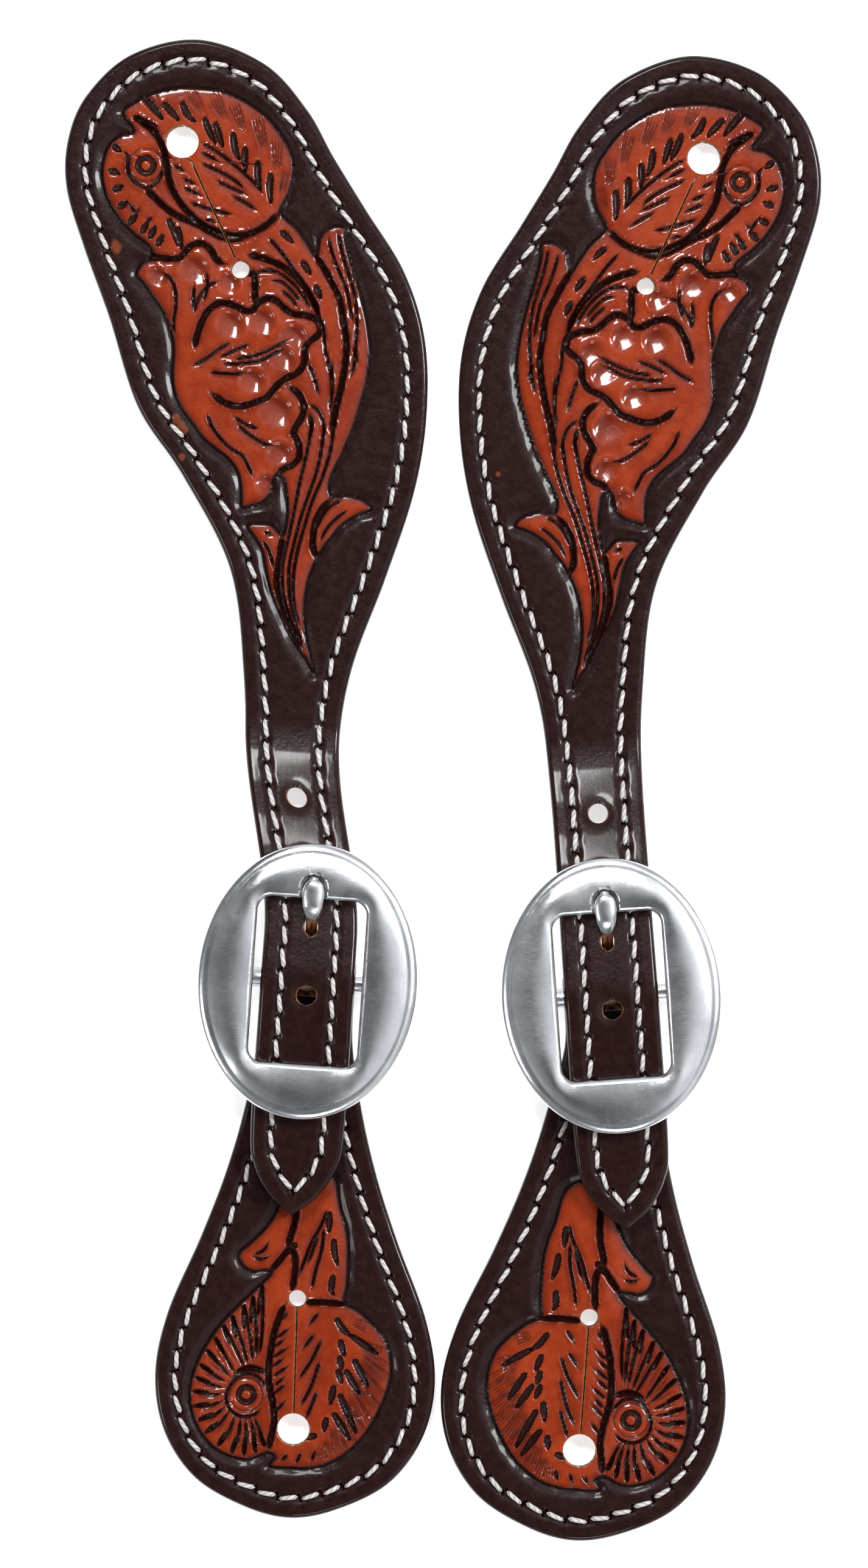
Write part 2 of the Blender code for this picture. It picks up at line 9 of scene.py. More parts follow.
import bpy
import numpy as np
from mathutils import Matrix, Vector


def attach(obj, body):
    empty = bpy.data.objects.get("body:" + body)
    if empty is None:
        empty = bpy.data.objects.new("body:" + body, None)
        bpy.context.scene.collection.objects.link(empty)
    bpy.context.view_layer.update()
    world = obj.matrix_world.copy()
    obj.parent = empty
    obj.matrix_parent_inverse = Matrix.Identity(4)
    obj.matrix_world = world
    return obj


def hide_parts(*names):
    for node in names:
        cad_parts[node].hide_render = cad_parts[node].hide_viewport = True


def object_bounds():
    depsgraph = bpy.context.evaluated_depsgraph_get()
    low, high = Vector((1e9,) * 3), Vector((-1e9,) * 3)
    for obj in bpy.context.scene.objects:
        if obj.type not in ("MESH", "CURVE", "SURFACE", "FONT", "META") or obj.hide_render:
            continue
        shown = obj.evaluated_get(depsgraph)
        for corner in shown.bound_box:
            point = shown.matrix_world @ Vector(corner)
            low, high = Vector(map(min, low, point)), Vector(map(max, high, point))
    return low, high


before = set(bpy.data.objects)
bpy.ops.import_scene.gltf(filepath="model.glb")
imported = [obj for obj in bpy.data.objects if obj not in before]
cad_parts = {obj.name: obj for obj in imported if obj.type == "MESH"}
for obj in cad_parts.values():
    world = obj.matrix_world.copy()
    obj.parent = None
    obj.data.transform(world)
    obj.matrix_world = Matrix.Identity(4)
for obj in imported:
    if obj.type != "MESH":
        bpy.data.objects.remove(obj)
CAD_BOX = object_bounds()

bl_info = {
    "name": "Carved Spur Straps",
    "version": (1, 0, 0),
    "blender": (4, 5, 0),
    "location": "3D View > Sidebar > Straps",
    "description": "Builds a pair of carved leather spur straps with their cart buckles",
    "category": "Add Mesh",
}

MM = 0.001

# Leather layers: depths are from the finished side down, and the two layers sink into each other
FOLD = 2.0
LEATHER = 4.2
FACE_DEPTH = 2.58
LINING_DEPTH = 1.6
EDGE_ROUND = 0.95
RIM_ROUND = 0.3
WALL_CLEARANCE = 0.05
RAW_REACH = 0.3
BACK_CHAMFER = (0.12, 0.14)
SKIVE_FROM, SKIVE_TO = -6.0, -24.0

# Where the rows of each strap start, change spacing and end
WING_FROM = 52.0
LONG_ENDS = (-42.7, 169.6)
SHORT_ENDS = (-99.4, 29.7)
HEEL_CARVED_TO = -34.0
WING_STEPS = 1.35
WING_COLUMNS, HEEL_COLUMNS, BILLET_COLUMNS, LINING_COLUMNS = 92, 84, 30, 24

# The carving's tools and the seam
BEVEL_DEPTH, BEVEL_WIDTH = 0.5, 1.05
DOME = 0.3
FINE_CUT = {"half_width": 0.34, "depth": 0.4, "lip": 0.09, "one_side": 0.16}
GROOVE = {"half_width": 0.68, "depth": 0.7, "lip": 0.12, "one_side": 0.3}
HATCH = {"half_width": 0.22, "depth": 0.17, "lip": 0.03, "dark": 0.48}
WEDGE = {"half_width": 0.42, "depth": 0.45}
SLIT_SCORE = {"half_width": 0.3, "depth": 0.6}
HATCH_SPREAD = 0.62
SEED_RINGS = {"dome": (0.95, 0.3), "inside": (0.75, 1.05), "outside": (2.2, 1.7), "groove": 3.05}
SEAM_INSET = 3.75
STITCH_PITCH = 4.12
STITCH_GAP = 0.5
FRONT_RISE, FRONT_SINK = 0.17, 0.5
BACK_RISE, BACK_SINK = 0.02, 0.35
BACK_THREAD = 0.8
STITCH_FACES = (8, 7)

# Buckle
BAR_RADIUS = 1.8
BAR_HEIGHT = 4.1
PLATE_HALF = np.array((19.95, 25.05))
PLATE_BACK = 11.4
PLATE_TOP = 13.9
WINDOW_HALF = np.array((9.9, 15.05))
WINDOW_CORNER = 2.6
LUG_INNER = 10.2
LUG_WIDTH = 3.4
LUG_DEPTH = 4.4
LUG_LOW, LUG_HIGH = BAR_HEIGHT - BAR_RADIUS - 0.15, PLATE_BACK + 0.4
NOTCH_HALF = 2.35
NOTCH_END = 19.3
NOTCH_DEPTH = 1.55
PLATE_RAYS = 576
RIM_TURN = 1.7
CROWN, RIM_FALL = 0.28, 0.3

# Openings along each strap's middle line: place and radius, and the slit between the first two
WING_HOLES = ((-27.6, 150.8, 3.0), (-15.4, 128.3, 1.6))
HEEL_HOLES = ((0.0, -83.0, 3.0), (0.0, -58.8, 1.6))
BILLET_HOLES = ((0.0, 33.1, 1.8), (0.0, 21.5, 1.8), (0.0, -2.55, 1.8))
SLIT_HALF = 0.09
SLOT = (-4.4, 12.7, 2.7)
TONGUE_HOLE = (9.95, 1.75, 1.24)

LONG_LEFT = (
    (0.0, -42.7), (-4.3, -39.2), (-7.4, -34.0), (-8.5, -27.0), (-8.5, 0.0), (-8.5, 38.0),
    (-9.9, 56.0), (-13.6, 74.0), (-23.2, 90.0), (-32.3, 102.0), (-38.7, 118.0),
    (-44.0, 130.0), (-48.1, 141.0), (-48.4, 150.0), (-45.5, 158.2), (-38.0, 166.0),
    (-26.0, 169.6),
)
LONG_RIGHT = (
    (0.0, -42.7), (4.3, -39.2), (7.4, -34.0), (8.5, -27.0), (8.5, 0.0), (8.4, 38.0),
    (9.7, 56.0), (14.9, 74.0), (19.0, 90.0), (20.3, 104.0), (19.0, 118.0), (14.4, 130.0),
    (6.5, 141.0), (0.1, 150.0), (-5.3, 158.2), (-13.6, 166.0), (-26.0, 169.6),
)
SHORT_RIGHT = (
    (0.0, -99.4), (8.5, -97.6), (17.9, -92.5), (23.9, -84.0), (25.9, -73.5), (23.9, -62.0),
    (18.3, -48.0), (14.05, -36.0), (10.9, -24.0), (8.9, -12.0), (8.6, 0.0), (8.6, 9.7),
    (7.8, 24.0), (4.6, 28.5), (0.0, 29.7),
)

BILLET_REST = (
    (-44.0, 4.55), (-36.0, 4.8), (-29.0, 5.4), (-22.0, 6.3), (-14.0, 6.8), (-7.0, 7.75),
    (0.0, 8.5), (7.0, 7.75), (14.0, 6.8), (22.0, 6.3), (29.0, 4.6), (36.0, 2.2), (42.0, 0.6),
    (47.0, 0.0),
)
SHORT_TOP = (
    (-44.0, 4.2), (-36.0, 4.4), (-29.0, 5.0), (-22.0, 5.9), (-14.0, 6.4), (-7.0, 7.3),
    (-3.0, 8.0), (0.0, 8.2),
)
LINING_START = -24.0
LINING_DROP = 0.12
LINING_SEAM_MARGIN = 1.5

TONGUE_PATH = (
    (0.6, 6.85, 2.1, 0.6), (4.2, 6.45, 1.9, 0.6), (7.2, 6.3, 1.4, 0.7), (9.0, 7.3, 1.1, 0.8),
    (10.3, 9.6, 1.05, 0.8), (11.6, 11.9, 1.2, 0.75), (13.5, 13.25, 1.75, 0.75),
    (16.1, 13.5, 2.0, 0.75), (17.7, 13.5, 1.6, 0.7), (18.5, 13.4, 0.8, 0.4),
)
EYE_OUTER = 3.45
EYE_INNER = 2.1
EYE_WIDTH = 4.4

SIDES = {
    "left": (1, (-24.61, -34.7), -4.0, -5.9, 2.2, 0.985),
    "right": (-1, (30.49, -37.3), 4.0, 0.0, 8.2, 1.003),
}
SWAY_FROM, SWAY_TO = 8.0, 46.0
LEAN_ABOUT, LEAN_TO = -3.0, -18.0

# The carved motif on the wing: its outline, then the strokes of each tool
WING_MOTIF = (
    (-38.8, 155.2), (-36.5, 157.5), (-33.5, 159.2), (-30, 160.3), (-26, 160.8), (-21, 160.5),
    (-16.4, 158.8), (-12.5, 156.3), (-9.5, 153), (-7.5, 149.7), (-7, 146), (-7.5, 142.8),
    (-8.9, 139.4), (-7.7, 138), (-5.5, 136.2), (-3.2, 133.3), (-1.9, 131.6), (-1.6, 132.8),
    (-1.4, 135.1), (-.2, 136.7), (1.1, 137.3), (3, 137.4), (3.2, 135.5), (3.9, 132.8),
    (5.2, 129.2), (6.8, 125.1), (8.2, 120.5), (9, 116.9), (9.2, 113.3), (8.9, 109.2),
    (8.1, 105.1), (7, 100.5), (5.9, 97.4), (5.4, 95.8), (4.2, 93.1), (3.5, 90.6), (3.8, 88.4),
    (4.9, 88.1), (6.5, 88.5), (8.8, 88.3), (10.4, 87.6), (11.5, 86.3), (9.5, 85.4),
    (7.6, 84.2), (5.8, 82.6), (4.5, 80.6), (3.3, 79), (2.2, 76.7), (1.5, 74.9), (.8, 72.2),
    (.5, 68.5), (.8, 64.5), (1.7, 60.4), (3.1, 56), (1.3, 58.5), (-1, 61.3), (-2.8, 64.5),
    (-4.6, 67.6), (-6, 70.8), (-6.9, 74), (-7.8, 77.2), (-9.2, 79.5), (-11, 81.8),
    (-9.4, 82.3), (-6.9, 82.5), (-5.5, 81.3), (-4.4, 80.6), (-3.9, 82.2), (-3.8, 84.9),
    (-4.2, 88.1), (-4.9, 90.8), (-6.2, 91.5), (-6.8, 89.9), (-7.1, 87.9), (-8.5, 86.3),
    (-10.5, 85.5), (-12.1, 85.1), (-12.4, 87.2), (-12.8, 89.9), (-13.7, 92), (-15.3, 93.8),
    (-17.6, 95.4), (-20.1, 97.2), (-22, 99.5), (-23.9, 101.7), (-25.2, 103.7), (-26.1, 106),
    (-26.5, 108.7), (-26.5, 111.9), (-26.8, 114.6), (-27.7, 117.1), (-28.9, 119.6),
    (-30.7, 121.9), (-32.5, 124.2), (-34.2, 125.9), (-33.9, 127.3), (-33.2, 128.3),
    (-31.4, 129.4), (-32.3, 131.4), (-35.5, 133.6), (-38.3, 136.3), (-40.6, 139.7),
    (-41.7, 143.1), (-41.7, 146.5), (-40.8, 149.3), (-38.8, 151.2), (-36.4, 152.1),
)
WING_GROOVES = (
    ((-37.2, 154.8), (-36.5, 154.6), (-33, 152.3), (-31, 149.4), (-30.2, 146.5), (-29.3, 143),
     (-27.5, 140), (-25, 137.5), (-22.5, 135.8), (-18.6, 134.5), (-14.8, 134.7), (-11.4, 136.6),
     (-8.9, 139.4)),
    ((-33.8, 141.8), (-32.3, 140.6), (-30, 138.7), (-27.5, 137.2), (-24, 136), (-21, 134.6),
     (-18, 133.7), (-14.5, 134)),
    ((-32.4, 128.9), (-30.9, 129.4), (-28.4, 129.3), (-26.8, 129.6), (-25.9, 130.5),
     (-24.8, 131.9), (-23.2, 132.5), (-21.8, 132.1), (-20.7, 131), (-20, 129.9),
     (-18.6, 129.1), (-17.7, 129.2)),
    ((-22.7, 113.3), (-22.5, 115.5), (-21.8, 118.3), (-20.7, 120.5), (-19.3, 121.7),
     (-17.5, 122), (-15.7, 121.5), (-14.1, 120.9), (-12.7, 121.1), (-11.6, 122.6),
     (-10, 123.4), (-8.4, 123), (-7, 121.9), (-5.5, 121), (-3.6, 120.8), (-1.8, 120.5),
     (-.5, 119.6), (-.1, 118.5), (-.7, 117.1), (-2, 116), (-2.7, 114.6), (-2.6, 112.8),
     (-3, 111.2), (-4.1, 109.9), (-5.9, 109), (-7, 108), (-8, 106.7), (-9.1, 105.3),
     (-10.9, 104.4), (-13.2, 103.5), (-15.5, 103.5), (-17.3, 104.2), (-18.6, 105.1),
     (-19.5, 105.8)),
    ((-6.2, 91.5), (-5.1, 92.6), (-3.5, 93.5), (-2.5, 94.7), (-2.4, 96.3), (-3, 98.1),
     (-3.7, 99.2), (-3.3, 100.6), (-2.4, 102.3), (-2.2, 104.4), (-3.4, 106.5), (-5.7, 107.9)),
    ((-14.5, 131), (-12.3, 130.8), (-9.1, 129.9), (-6.4, 128.5), (-3.6, 126), (-1.4, 122.8),
     (-.5, 120.5)),
    ((-1.9, 131.8), (-.5, 129.9), (1.1, 127.4), (3, 124.2), (3.9, 120.5), (4.8, 116.5),
     (4.8, 112.4), (4.3, 107.8), (3.6, 103.7), (3.2, 99.5)),
    ((2.2, 76.7), (1.2, 79.2), (1.3, 83.1), (2.2, 85.4), (3.3, 87), (4.2, 88)),
    ((-4.4, 80.4), (-4.6, 76.7), (-4.9, 72.2), (-3.8, 68.6), (-1.8, 64.2), (.8, 60)),
    ((-14.5, 127.2), (-12.9, 127.6), (-12.5, 124.6), (-12.3, 121.6)),
)
WING_CUTS = (
    ((-37, 155), (-34, 153.9), (-31.5, 152.8)), ((-35.5, 153.7), (-31, 151.8)),
    ((-24.2, 150.8), (-22, 149.8), (-19, 148), (-16, 145.8), (-13.5, 143.7), (-12, 142)),
    ((-24.3, 149.2), (-22, 148.2), (-20.3, 147.3)),
    ((-24, 147.1), (-20, 145.6), (-17, 144), (-15.5, 142.5)),
    ((-21.2, 144.2), (-18.2, 143), (-14.8, 141.8)), ((-18, 141.6), (-15.5, 140.5), (-12.7, 139)),
    ((-29.3, 146.5), (-26.2, 145.2)), ((-27.5, 144.2), (-24, 143)),
    ((-27.1, 142.5), (-22.8, 141)), ((-25.7, 139.8), (-21.5, 138.8), (-17, 138.1)),
    ((-22.7, 137), (-20.2, 136.5)),
    ((-30.6, 146), (-31.5, 143.3), (-33.5, 141.9), (-36, 143), (-37.2, 145), (-37.3, 147.3),
     (-38.5, 148.7)),
    ((-36.7, 139.3), (-35.2, 137.4), (-34, 138.8)), ((-33.2, 135.8), (-31.8, 136.8)),
    ((-29.8, 126.7), (-28.1, 125.8), (-27, 123.7), (-26.7, 120.5), (-26.9, 117.8),
     (-26.4, 115.5)),
    ((-23.2, 119.6), (-23, 121.5), (-22, 123.7), (-20.5, 125.3), (-18.6, 126)),
    ((-21.6, 127.6), (-21.2, 124.8), (-21.9, 121.2)), ((-23.6, 125.2), (-23.6, 120.2)),
    ((-23, 110.1), (-20.5, 111.7), (-17.7, 114), (-15.7, 115)),
    ((-18.2, 111.9), (-15.5, 113.5), (-12.3, 115)),
    ((-15.5, 112), (-11.8, 112.8), (-8.2, 114.6), (-5.2, 116.5)),
    ((-17.7, 110.8), (-14.1, 111.2), (-10.5, 112.1), (-8.2, 113.5), (-6.1, 114.6)),
    ((-20, 109.3), (-15.9, 109.2), (-12.5, 109.6)),
    ((-19.7, 101.8), (-18.6, 99.4), (-16.9, 97.3), (-14.9, 95.6), (-12.8, 94.5),
     (-11.5, 92.6), (-10.3, 90.4)),
    ((-15, 101.6), (-12.5, 100.2), (-9.4, 99.4)),
    ((-14.2, 100.2), (-11.6, 98.3), (-8.8, 96.9), (-6.4, 96.6)),
    ((-12.7, 127.9), (-10, 128.5), (-7.7, 127.8), (-5.5, 126.2), (-3.6, 124.2), (-2, 121.5)),
    ((-9.8, 126.7), (-7.7, 126.5), (-5.9, 125.1), (-3.6, 122.8)),
    ((-8, 125.1), (-5.9, 123.7), (-4.1, 121.5)),
    ((-10.9, 134.6), (-8.2, 131.9), (-5.5, 128.7), (-2.7, 125.1), (-.7, 121), (.5, 118.3),
     (.9, 115.1), (1.8, 112.4), (2.7, 108.3), (2.7, 103.3)),
    ((-1.4, 104.9), (.7, 103.3), (1.8, 100.5), (1.6, 97.8)),
    ((-1.4, 102.8), (-.5, 100.5), (-.7, 97.8)),
    ((.2, 135.5), (.7, 133.3), (2.3, 129.6), (3.9, 126.5), (5, 122.8), (5.7, 119.6)),
    ((1.8, 136.5), (2.5, 133.7), (3.6, 130.5), (5.5, 125.5), (6.4, 120.5), (6.5, 116.5),
     (6.4, 112.4), (5.9, 109.6)),
    ((-1.2, 103.5), (-.5, 101.3), (-.8, 98.1), (-1.2, 94.9), (-1.9, 90.8), (-2.4, 86.7),
     (-3, 82.2), (-3.7, 77.6), (-4, 74.5), (-3.5, 69.9), (-1.9, 65.4), (-.1, 61.7)),
    ((1.7, 100.4), (1.6, 97.2), (1, 92.6), (-.1, 88.5), (-1.2, 84.5), (-2.1, 79.9),
     (-2.8, 74.9), (-2.4, 69.9), (-1, 64.9), (.8, 60.4)),
    ((3.8, 103.1), (3.5, 99.9), (3.1, 95.8), (2, 91.3), (.6, 87.2), (-.5, 82.6), (-1.5, 77.6),
     (-1.9, 73.1), (-1.5, 68.5), (-.1, 64)),
    ((-8, 81), (-6, 80.4)), ((-8, 79.5), (-6.5, 77.2), (-5.5, 74)),
    ((6, 87.6), (4, 86.5), (2.6, 84.5), (1.3, 81.3)),
    ((7.2, 86), (5.4, 84.5), (3.5, 82.2), (2.4, 79.5)),
    ((6, 116), (7.4, 112)), ((2.2, 113), (2.9, 108)), ((-2, 112.5), (-.6, 109.4), (.6, 106)),
)
WING_NOTCHES = (
    ((-34.9, 158.2), (-33, 156.3), (-31.5, 154.6)),
    ((-31.3, 157.3), (-29.3, 155.5), (-28.6, 154.7)),
    ((-28, 157.6), (-27, 155.8), (-25.6, 154.6)), ((-23.7, 155), (-22.8, 153), (-21.6, 151)),
    ((-21.7, 154.3), (-21, 152.3), (-20.2, 150.4)), ((-18.4, 152.6), (-17.9, 150), (-17, 148.3)),
    ((-16.1, 150.2), (-16, 148), (-15.7, 146.3)), ((-13.6, 147.8), (-13.4, 145.3), (-12.9, 143.2)),
    ((-11.1, 145.7), (-11.1, 143.2), (-10.7, 140.8)),
    ((-28.9, 136.2), (-27.8, 134), (-27.2, 132)), ((-27.2, 134.8), (-26.4, 131.5)),
    ((-39.8, 149), (-38.7, 148.2)), ((-40.2, 144.6), (-38.7, 144.2)),
    ((-39.2, 141.3), (-37.9, 142)), ((-38.1, 138.1), (-36.9, 139.1)),
    ((-36.1, 135.4), (-35, 136.7)), ((-33.7, 134), (-32.9, 135.6)), ((-32.2, 133.2), (-31.4, 135)),
    ((-30.7, 131.9), (-29.9, 133.6)),
    ((-8.2, 135.5), (-6.4, 134)), ((-4.1, 130.3), (-2.7, 128.5)), ((-1.4, 126), (-.5, 124.2)),
)
WING_HATCHES = (
    ((-34.5, 158.9), (-31.6, 154.9), 5), ((-22.5, 159.6), (-20, 155), 4), ((-19, 158.6),
     (-16.5, 153), 4),
    ((-14.5, 156.6), (-12.5, 150), 4), ((-10.5, 152.6), (-10, 146), 4), ((-27, 160), (-24, 156), 4),
    ((-8.3, 147.5), (-9.2, 141.6), 3),
)
WING_DISHES = (
    (-24, 127.5, 2.7), (-30.5, 125.7, 1.8), (-17.5, 125.5, 2), (-16.7, 118, 2.5), (-11, 119, 2.5),
    (-5, 116.5, 2.4), (-6.8, 112.5, 2.3), (-12, 108, 2.3), (-8.3, 89.5, 1.8), (-6, 95, 2.3),
    (-7.3, 102.8, 3),
)
WING_SEED = (-33.9, 146.0)
SCUFFS = {
    "left": ((-38.3, 130.8, 1.2), (-25.2, 100.4, 0.9), (-24.2, 99.3, 0.9), (-23.4, 98.4, 0.7),
             (-23.6, 93.5, 0.7)),
    "right": ((13.8, 96.0, 0.5),),
}

HEEL_MOTIF = (
    (-11.1, -50.8), (-9.5, -49.2), (-7, -46.7), (-5, -44), (-3.6, -40.5), (-2.6, -36), (2, -34),
    (6, -36), (7.5, -42), (8.5, -45), (9.1, -48.5), (9.2, -53), (9.1, -56.5), (8.7, -59.3),
    (11, -60.5), (14, -63), (16.5, -66), (17.7, -70), (17.5, -74), (16.2, -78), (14.5, -81.5),
    (12.5, -84.5), (10, -87), (7, -89), (4, -89.9), (0, -90.2), (-4.2, -89.9), (-3.2, -88.2),
    (-4.6, -87.4), (-5.5, -87.7), (-8.5, -88.8), (-12, -88.2), (-15, -86.5), (-17.5, -83.5),
    (-19, -80), (-19.4, -76.5), (-18.7, -72.5), (-17, -68.5), (-14.5, -64.5), (-11.5, -61),
    (-8.5, -58), (-6.5, -56), (-4.9, -54), (-6.5, -53.8), (-8.5, -54), (-10.3, -53),
)
HEEL_GROOVES = (
    ((-5.2, -53.9), (-3.5, -51.8), (-2, -50), (-.8, -50.6), (-.6, -54), (-1.2, -58)),
    ((-.7, -38), (-.7, -42), (-1, -45), (-1.8, -48), (-2.2, -50)),
    ((1.2, -59.5), (5, -59.3), (8, -59.5), (9.4, -59.4)),
    ((-4.4, -87), (-4.2, -85), (-3.6, -81.5), (-4, -78), (-4.7, -75), (-5, -72), (-4.7, -69),
     (-4.2, -65.5), (-3, -61.5), (-2, -59.5)),
    ((-5.6, -73), (-6.4, -72.3), (-8.2, -71.9), (-9.9, -72.4), (-11.5, -73.8)),
)
HEEL_CUTS = (
    ((-8.7, -51.2), (-7, -51.7), (-5, -51)), ((-8.5, -51), (-6.5, -50), (-5.5, -48)),
    ((5, -42), (4, -45), (2.2, -48.5), (1, -52), (0, -55)),
    ((4.5, -45.5), (4.2, -49.5), (3.2, -53.5), (2.5, -57.5)),
    ((3.5, -46.7), (2.5, -50), (1.5, -52.7)),
    ((4.2, -61), (2, -64)), ((3.5, -65), (1, -68.5)), ((4.7, -66), (3, -70), (.5, -74)),
    ((4.5, -70), (3, -75), (1, -79)), ((4.2, -75.5), (3, -79), (2, -81.5)),
    ((-4, -66.5), (-1, -64)), ((-4.5, -70), (-1, -67.5)), ((-4.3, -73.5), (-1, -71)),
    ((-3, -63), (-1.5, -61)), ((-4.2, -76.8), (-1.2, -74.2)), ((-3.6, -80), (-1.4, -77.4)),
    ((-4.4, -68.2), (-1.8, -66)), ((-4.6, -71.8), (-1.8, -69.5)), ((-4, -75.2), (-1.6, -73)),
    ((-5.2, -75.5), (-7, -73.4), (-9.2, -73), (-11.4, -74.4), (-12.6, -77), (-12, -79.4),
     (-10, -80.8), (-7.6, -80.6), (-5.8, -79)),
    ((-.7, -87.4), (-2.4, -89.2)), ((1.6, -87), (.6, -89.6)), ((4.2, -86.5), (3.4, -89.2)),
)
HEEL_NOTCHES = (
    ((7.5, -62.5), (8.7, -64.2), (10.2, -65.5)), ((8.2, -66.5), (9, -69)), ((8, -72), (8.7, -74)),
    ((7.2, -75), (6.7, -78)), ((6, -81), (5.7, -83)), ((4, -84), (2.5, -84.5)),
    ((11, -70), (13.5, -74.5)), ((9.5, -72), (12, -76)), ((8.5, -76.5), (11.5, -83)),
    ((7.5, -80), (10.5, -84.5)), ((10.5, -65.5), (15, -68.5)), ((8.2, -69.5), (8.6, -71.4)),
    ((5.4, -43), (5.5, -46.2)), ((6.4, -48), (6.6, -50), (7.2, -52.2)),
    ((6.4, -54.7), (6.2, -57), (6.7, -57.7)), ((-.9, -48.9), (-.5, -49.2)),
)
HEEL_HATCHES = (
    ((16.4, -69), (11.4, -66.6), 5), ((16.8, -74), (11.6, -69.6), 6), ((15, -79.6),
     (10.4, -73.4), 6),
    ((12.4, -84), (9.2, -77.4), 5), ((9.2, -87.4), (7, -81.6), 5), ((5.6, -89.2), (5, -85), 4),
    ((13.6, -64), (9.4, -62.4), 4), ((17.2, -71.6), (12, -67.9), 4), ((16.2, -77),
     (11.2, -71.6), 5),
    ((13.8, -82), (10, -75.6), 5), ((10.8, -86), (8.2, -79.6), 5), ((7.4, -88.6), (6, -83.6), 4),
)
HEEL_SEED = (-8.9, -76.8)
SHELL_RIBS = (
    (-6.5, -56), (-8.2, -58.2), (-9.9, -59.8), (-12, -61.9), (-13.6, -63.8), (-15.1, -66.2),
    (-16.6, -68.6), (-17.8, -71.4), (-18.5, -73.9), (-18.9, -76.5), (-18.7, -79.3),
    (-17.7, -81.9), (-16.3, -84.2), (-13.9, -86.6), (-11.3, -87.9), (-9, -88.2), (-6.8, -87.6),
    (-5.2, -86.4),
)
RIBS_RADIAL_BELOW = -66
RIB_START = 4.0
UPPER_RIB_SHIFT = (1.4, 0.0)
RIB_BOW = (0.3, -0.45)


def smooth(start, end, at):
    """0 before start, 1 past end, and between them 3 t squared less 2 t cubed."""
    t = np.clip((np.asarray(at, float) - start) / (end - start), 0.0, 1.0)
    return t * t * (3.0 - 2.0 * t)


def through(points, at):
    """The values of a smooth curve through (position, value) points, level past both ends."""
    position, value = np.array(points, float).T
    slope = np.gradient(value, position)
    slope[0] = slope[-1] = 0.0
    at = np.clip(at, position[0], position[-1])
    i = np.clip(np.searchsorted(position, at) - 1, 0, len(position) - 2)
    width = position[i + 1] - position[i]
    t = (at - position[i]) / width
    rise = (3.0 - 2.0 * t) * t * t
    bend = width * t * (1.0 - t) * (slope[i] * (1.0 - t) - slope[i + 1] * t)
    return value[i] * (1.0 - rise) + value[i + 1] * rise + bend


def curve(points, steps=4, closed=False):
    """A smooth line through given points: each span is the cubic whose slope at a point is half
    the step between that point's neighbours."""
    points = np.array(points, float)
    if closed:
        padded = np.vstack([points[-1:], points, points[:2]])
    else:
        padded = np.vstack([2 * points[0] - points[1], points, 2 * points[-1] - points[-2]])
    before, start, end, after = (padded[i : len(padded) - 3 + i, None] for i in range(4))
    t = (np.arange(steps) / steps)[None, :, None]
    line = (
        start
        + 0.5 * t * (end - before)
        + t**2 * (before - 2.5 * start + 2.0 * end - 0.5 * after)
        + 0.5 * t**3 * (3.0 * start - 3.0 * end + after - before)
    )
    return np.vstack([line.reshape(-1, points.shape[1]), points[:1] if closed else points[-1:]])


def nearest(path, at, reach):
    """For each point: its distance to the path up to reach, how far along the path the nearest
    place is, and which side it is on, 1 for the left."""
    lengths = np.r_[0.0, np.cumsum(np.linalg.norm(np.diff(path, axis=0), axis=1))]
    distance = np.full(len(at), float(reach))
    along, side = np.zeros(len(at)), np.ones(len(at))
    for first in range(0, len(path) - 1, 12):
        part = path[first : first + 13]
        close = ((at > part.min(0) - reach) & (at < part.max(0) + reach)).all(1)
        found = np.flatnonzero(close)
        start, step = part[:-1], np.diff(part, axis=0)
        offset = at[found][:, None] - start
        t = np.clip((offset * step).sum(2) / np.maximum((step**2).sum(1), 1e-12), 0.0, 1.0)
        offset = offset - t[..., None] * step
        away = np.hypot(offset[..., 0], offset[..., 1])
        best = away.argmin(1)
        row = np.arange(len(found))
        better = away[row, best] < distance[found]
        row, best, found = row[better], best[better], found[better]
        distance[found] = away[row, best]
        along[found] = lengths[first + best] + t[row, best] * np.hypot(*step[best].T)
        cross = step[best, 0] * offset[row, best, 1] - step[best, 1] * offset[row, best, 0]
        side[found] = np.where(cross >= 0.0, 1.0, -1.0)
    return distance, along, side


def inside(loop, at):
    """Whether each point is inside a closed loop, from how many of its edges a ray crosses."""
    crossed = np.zeros(len(at), bool)
    for (x0, y0), (x1, y1) in zip(loop[:-1], loop[1:]):
        if y0 == y1:
            continue
        spans = (at[:, 1] >= min(y0, y1)) & (at[:, 1] < max(y0, y1))
        meets = x0 + (at[:, 1] - y0) * (x1 - x0) / (y1 - y0)
        crossed ^= spans & (at[:, 0] < meets)
    return crossed


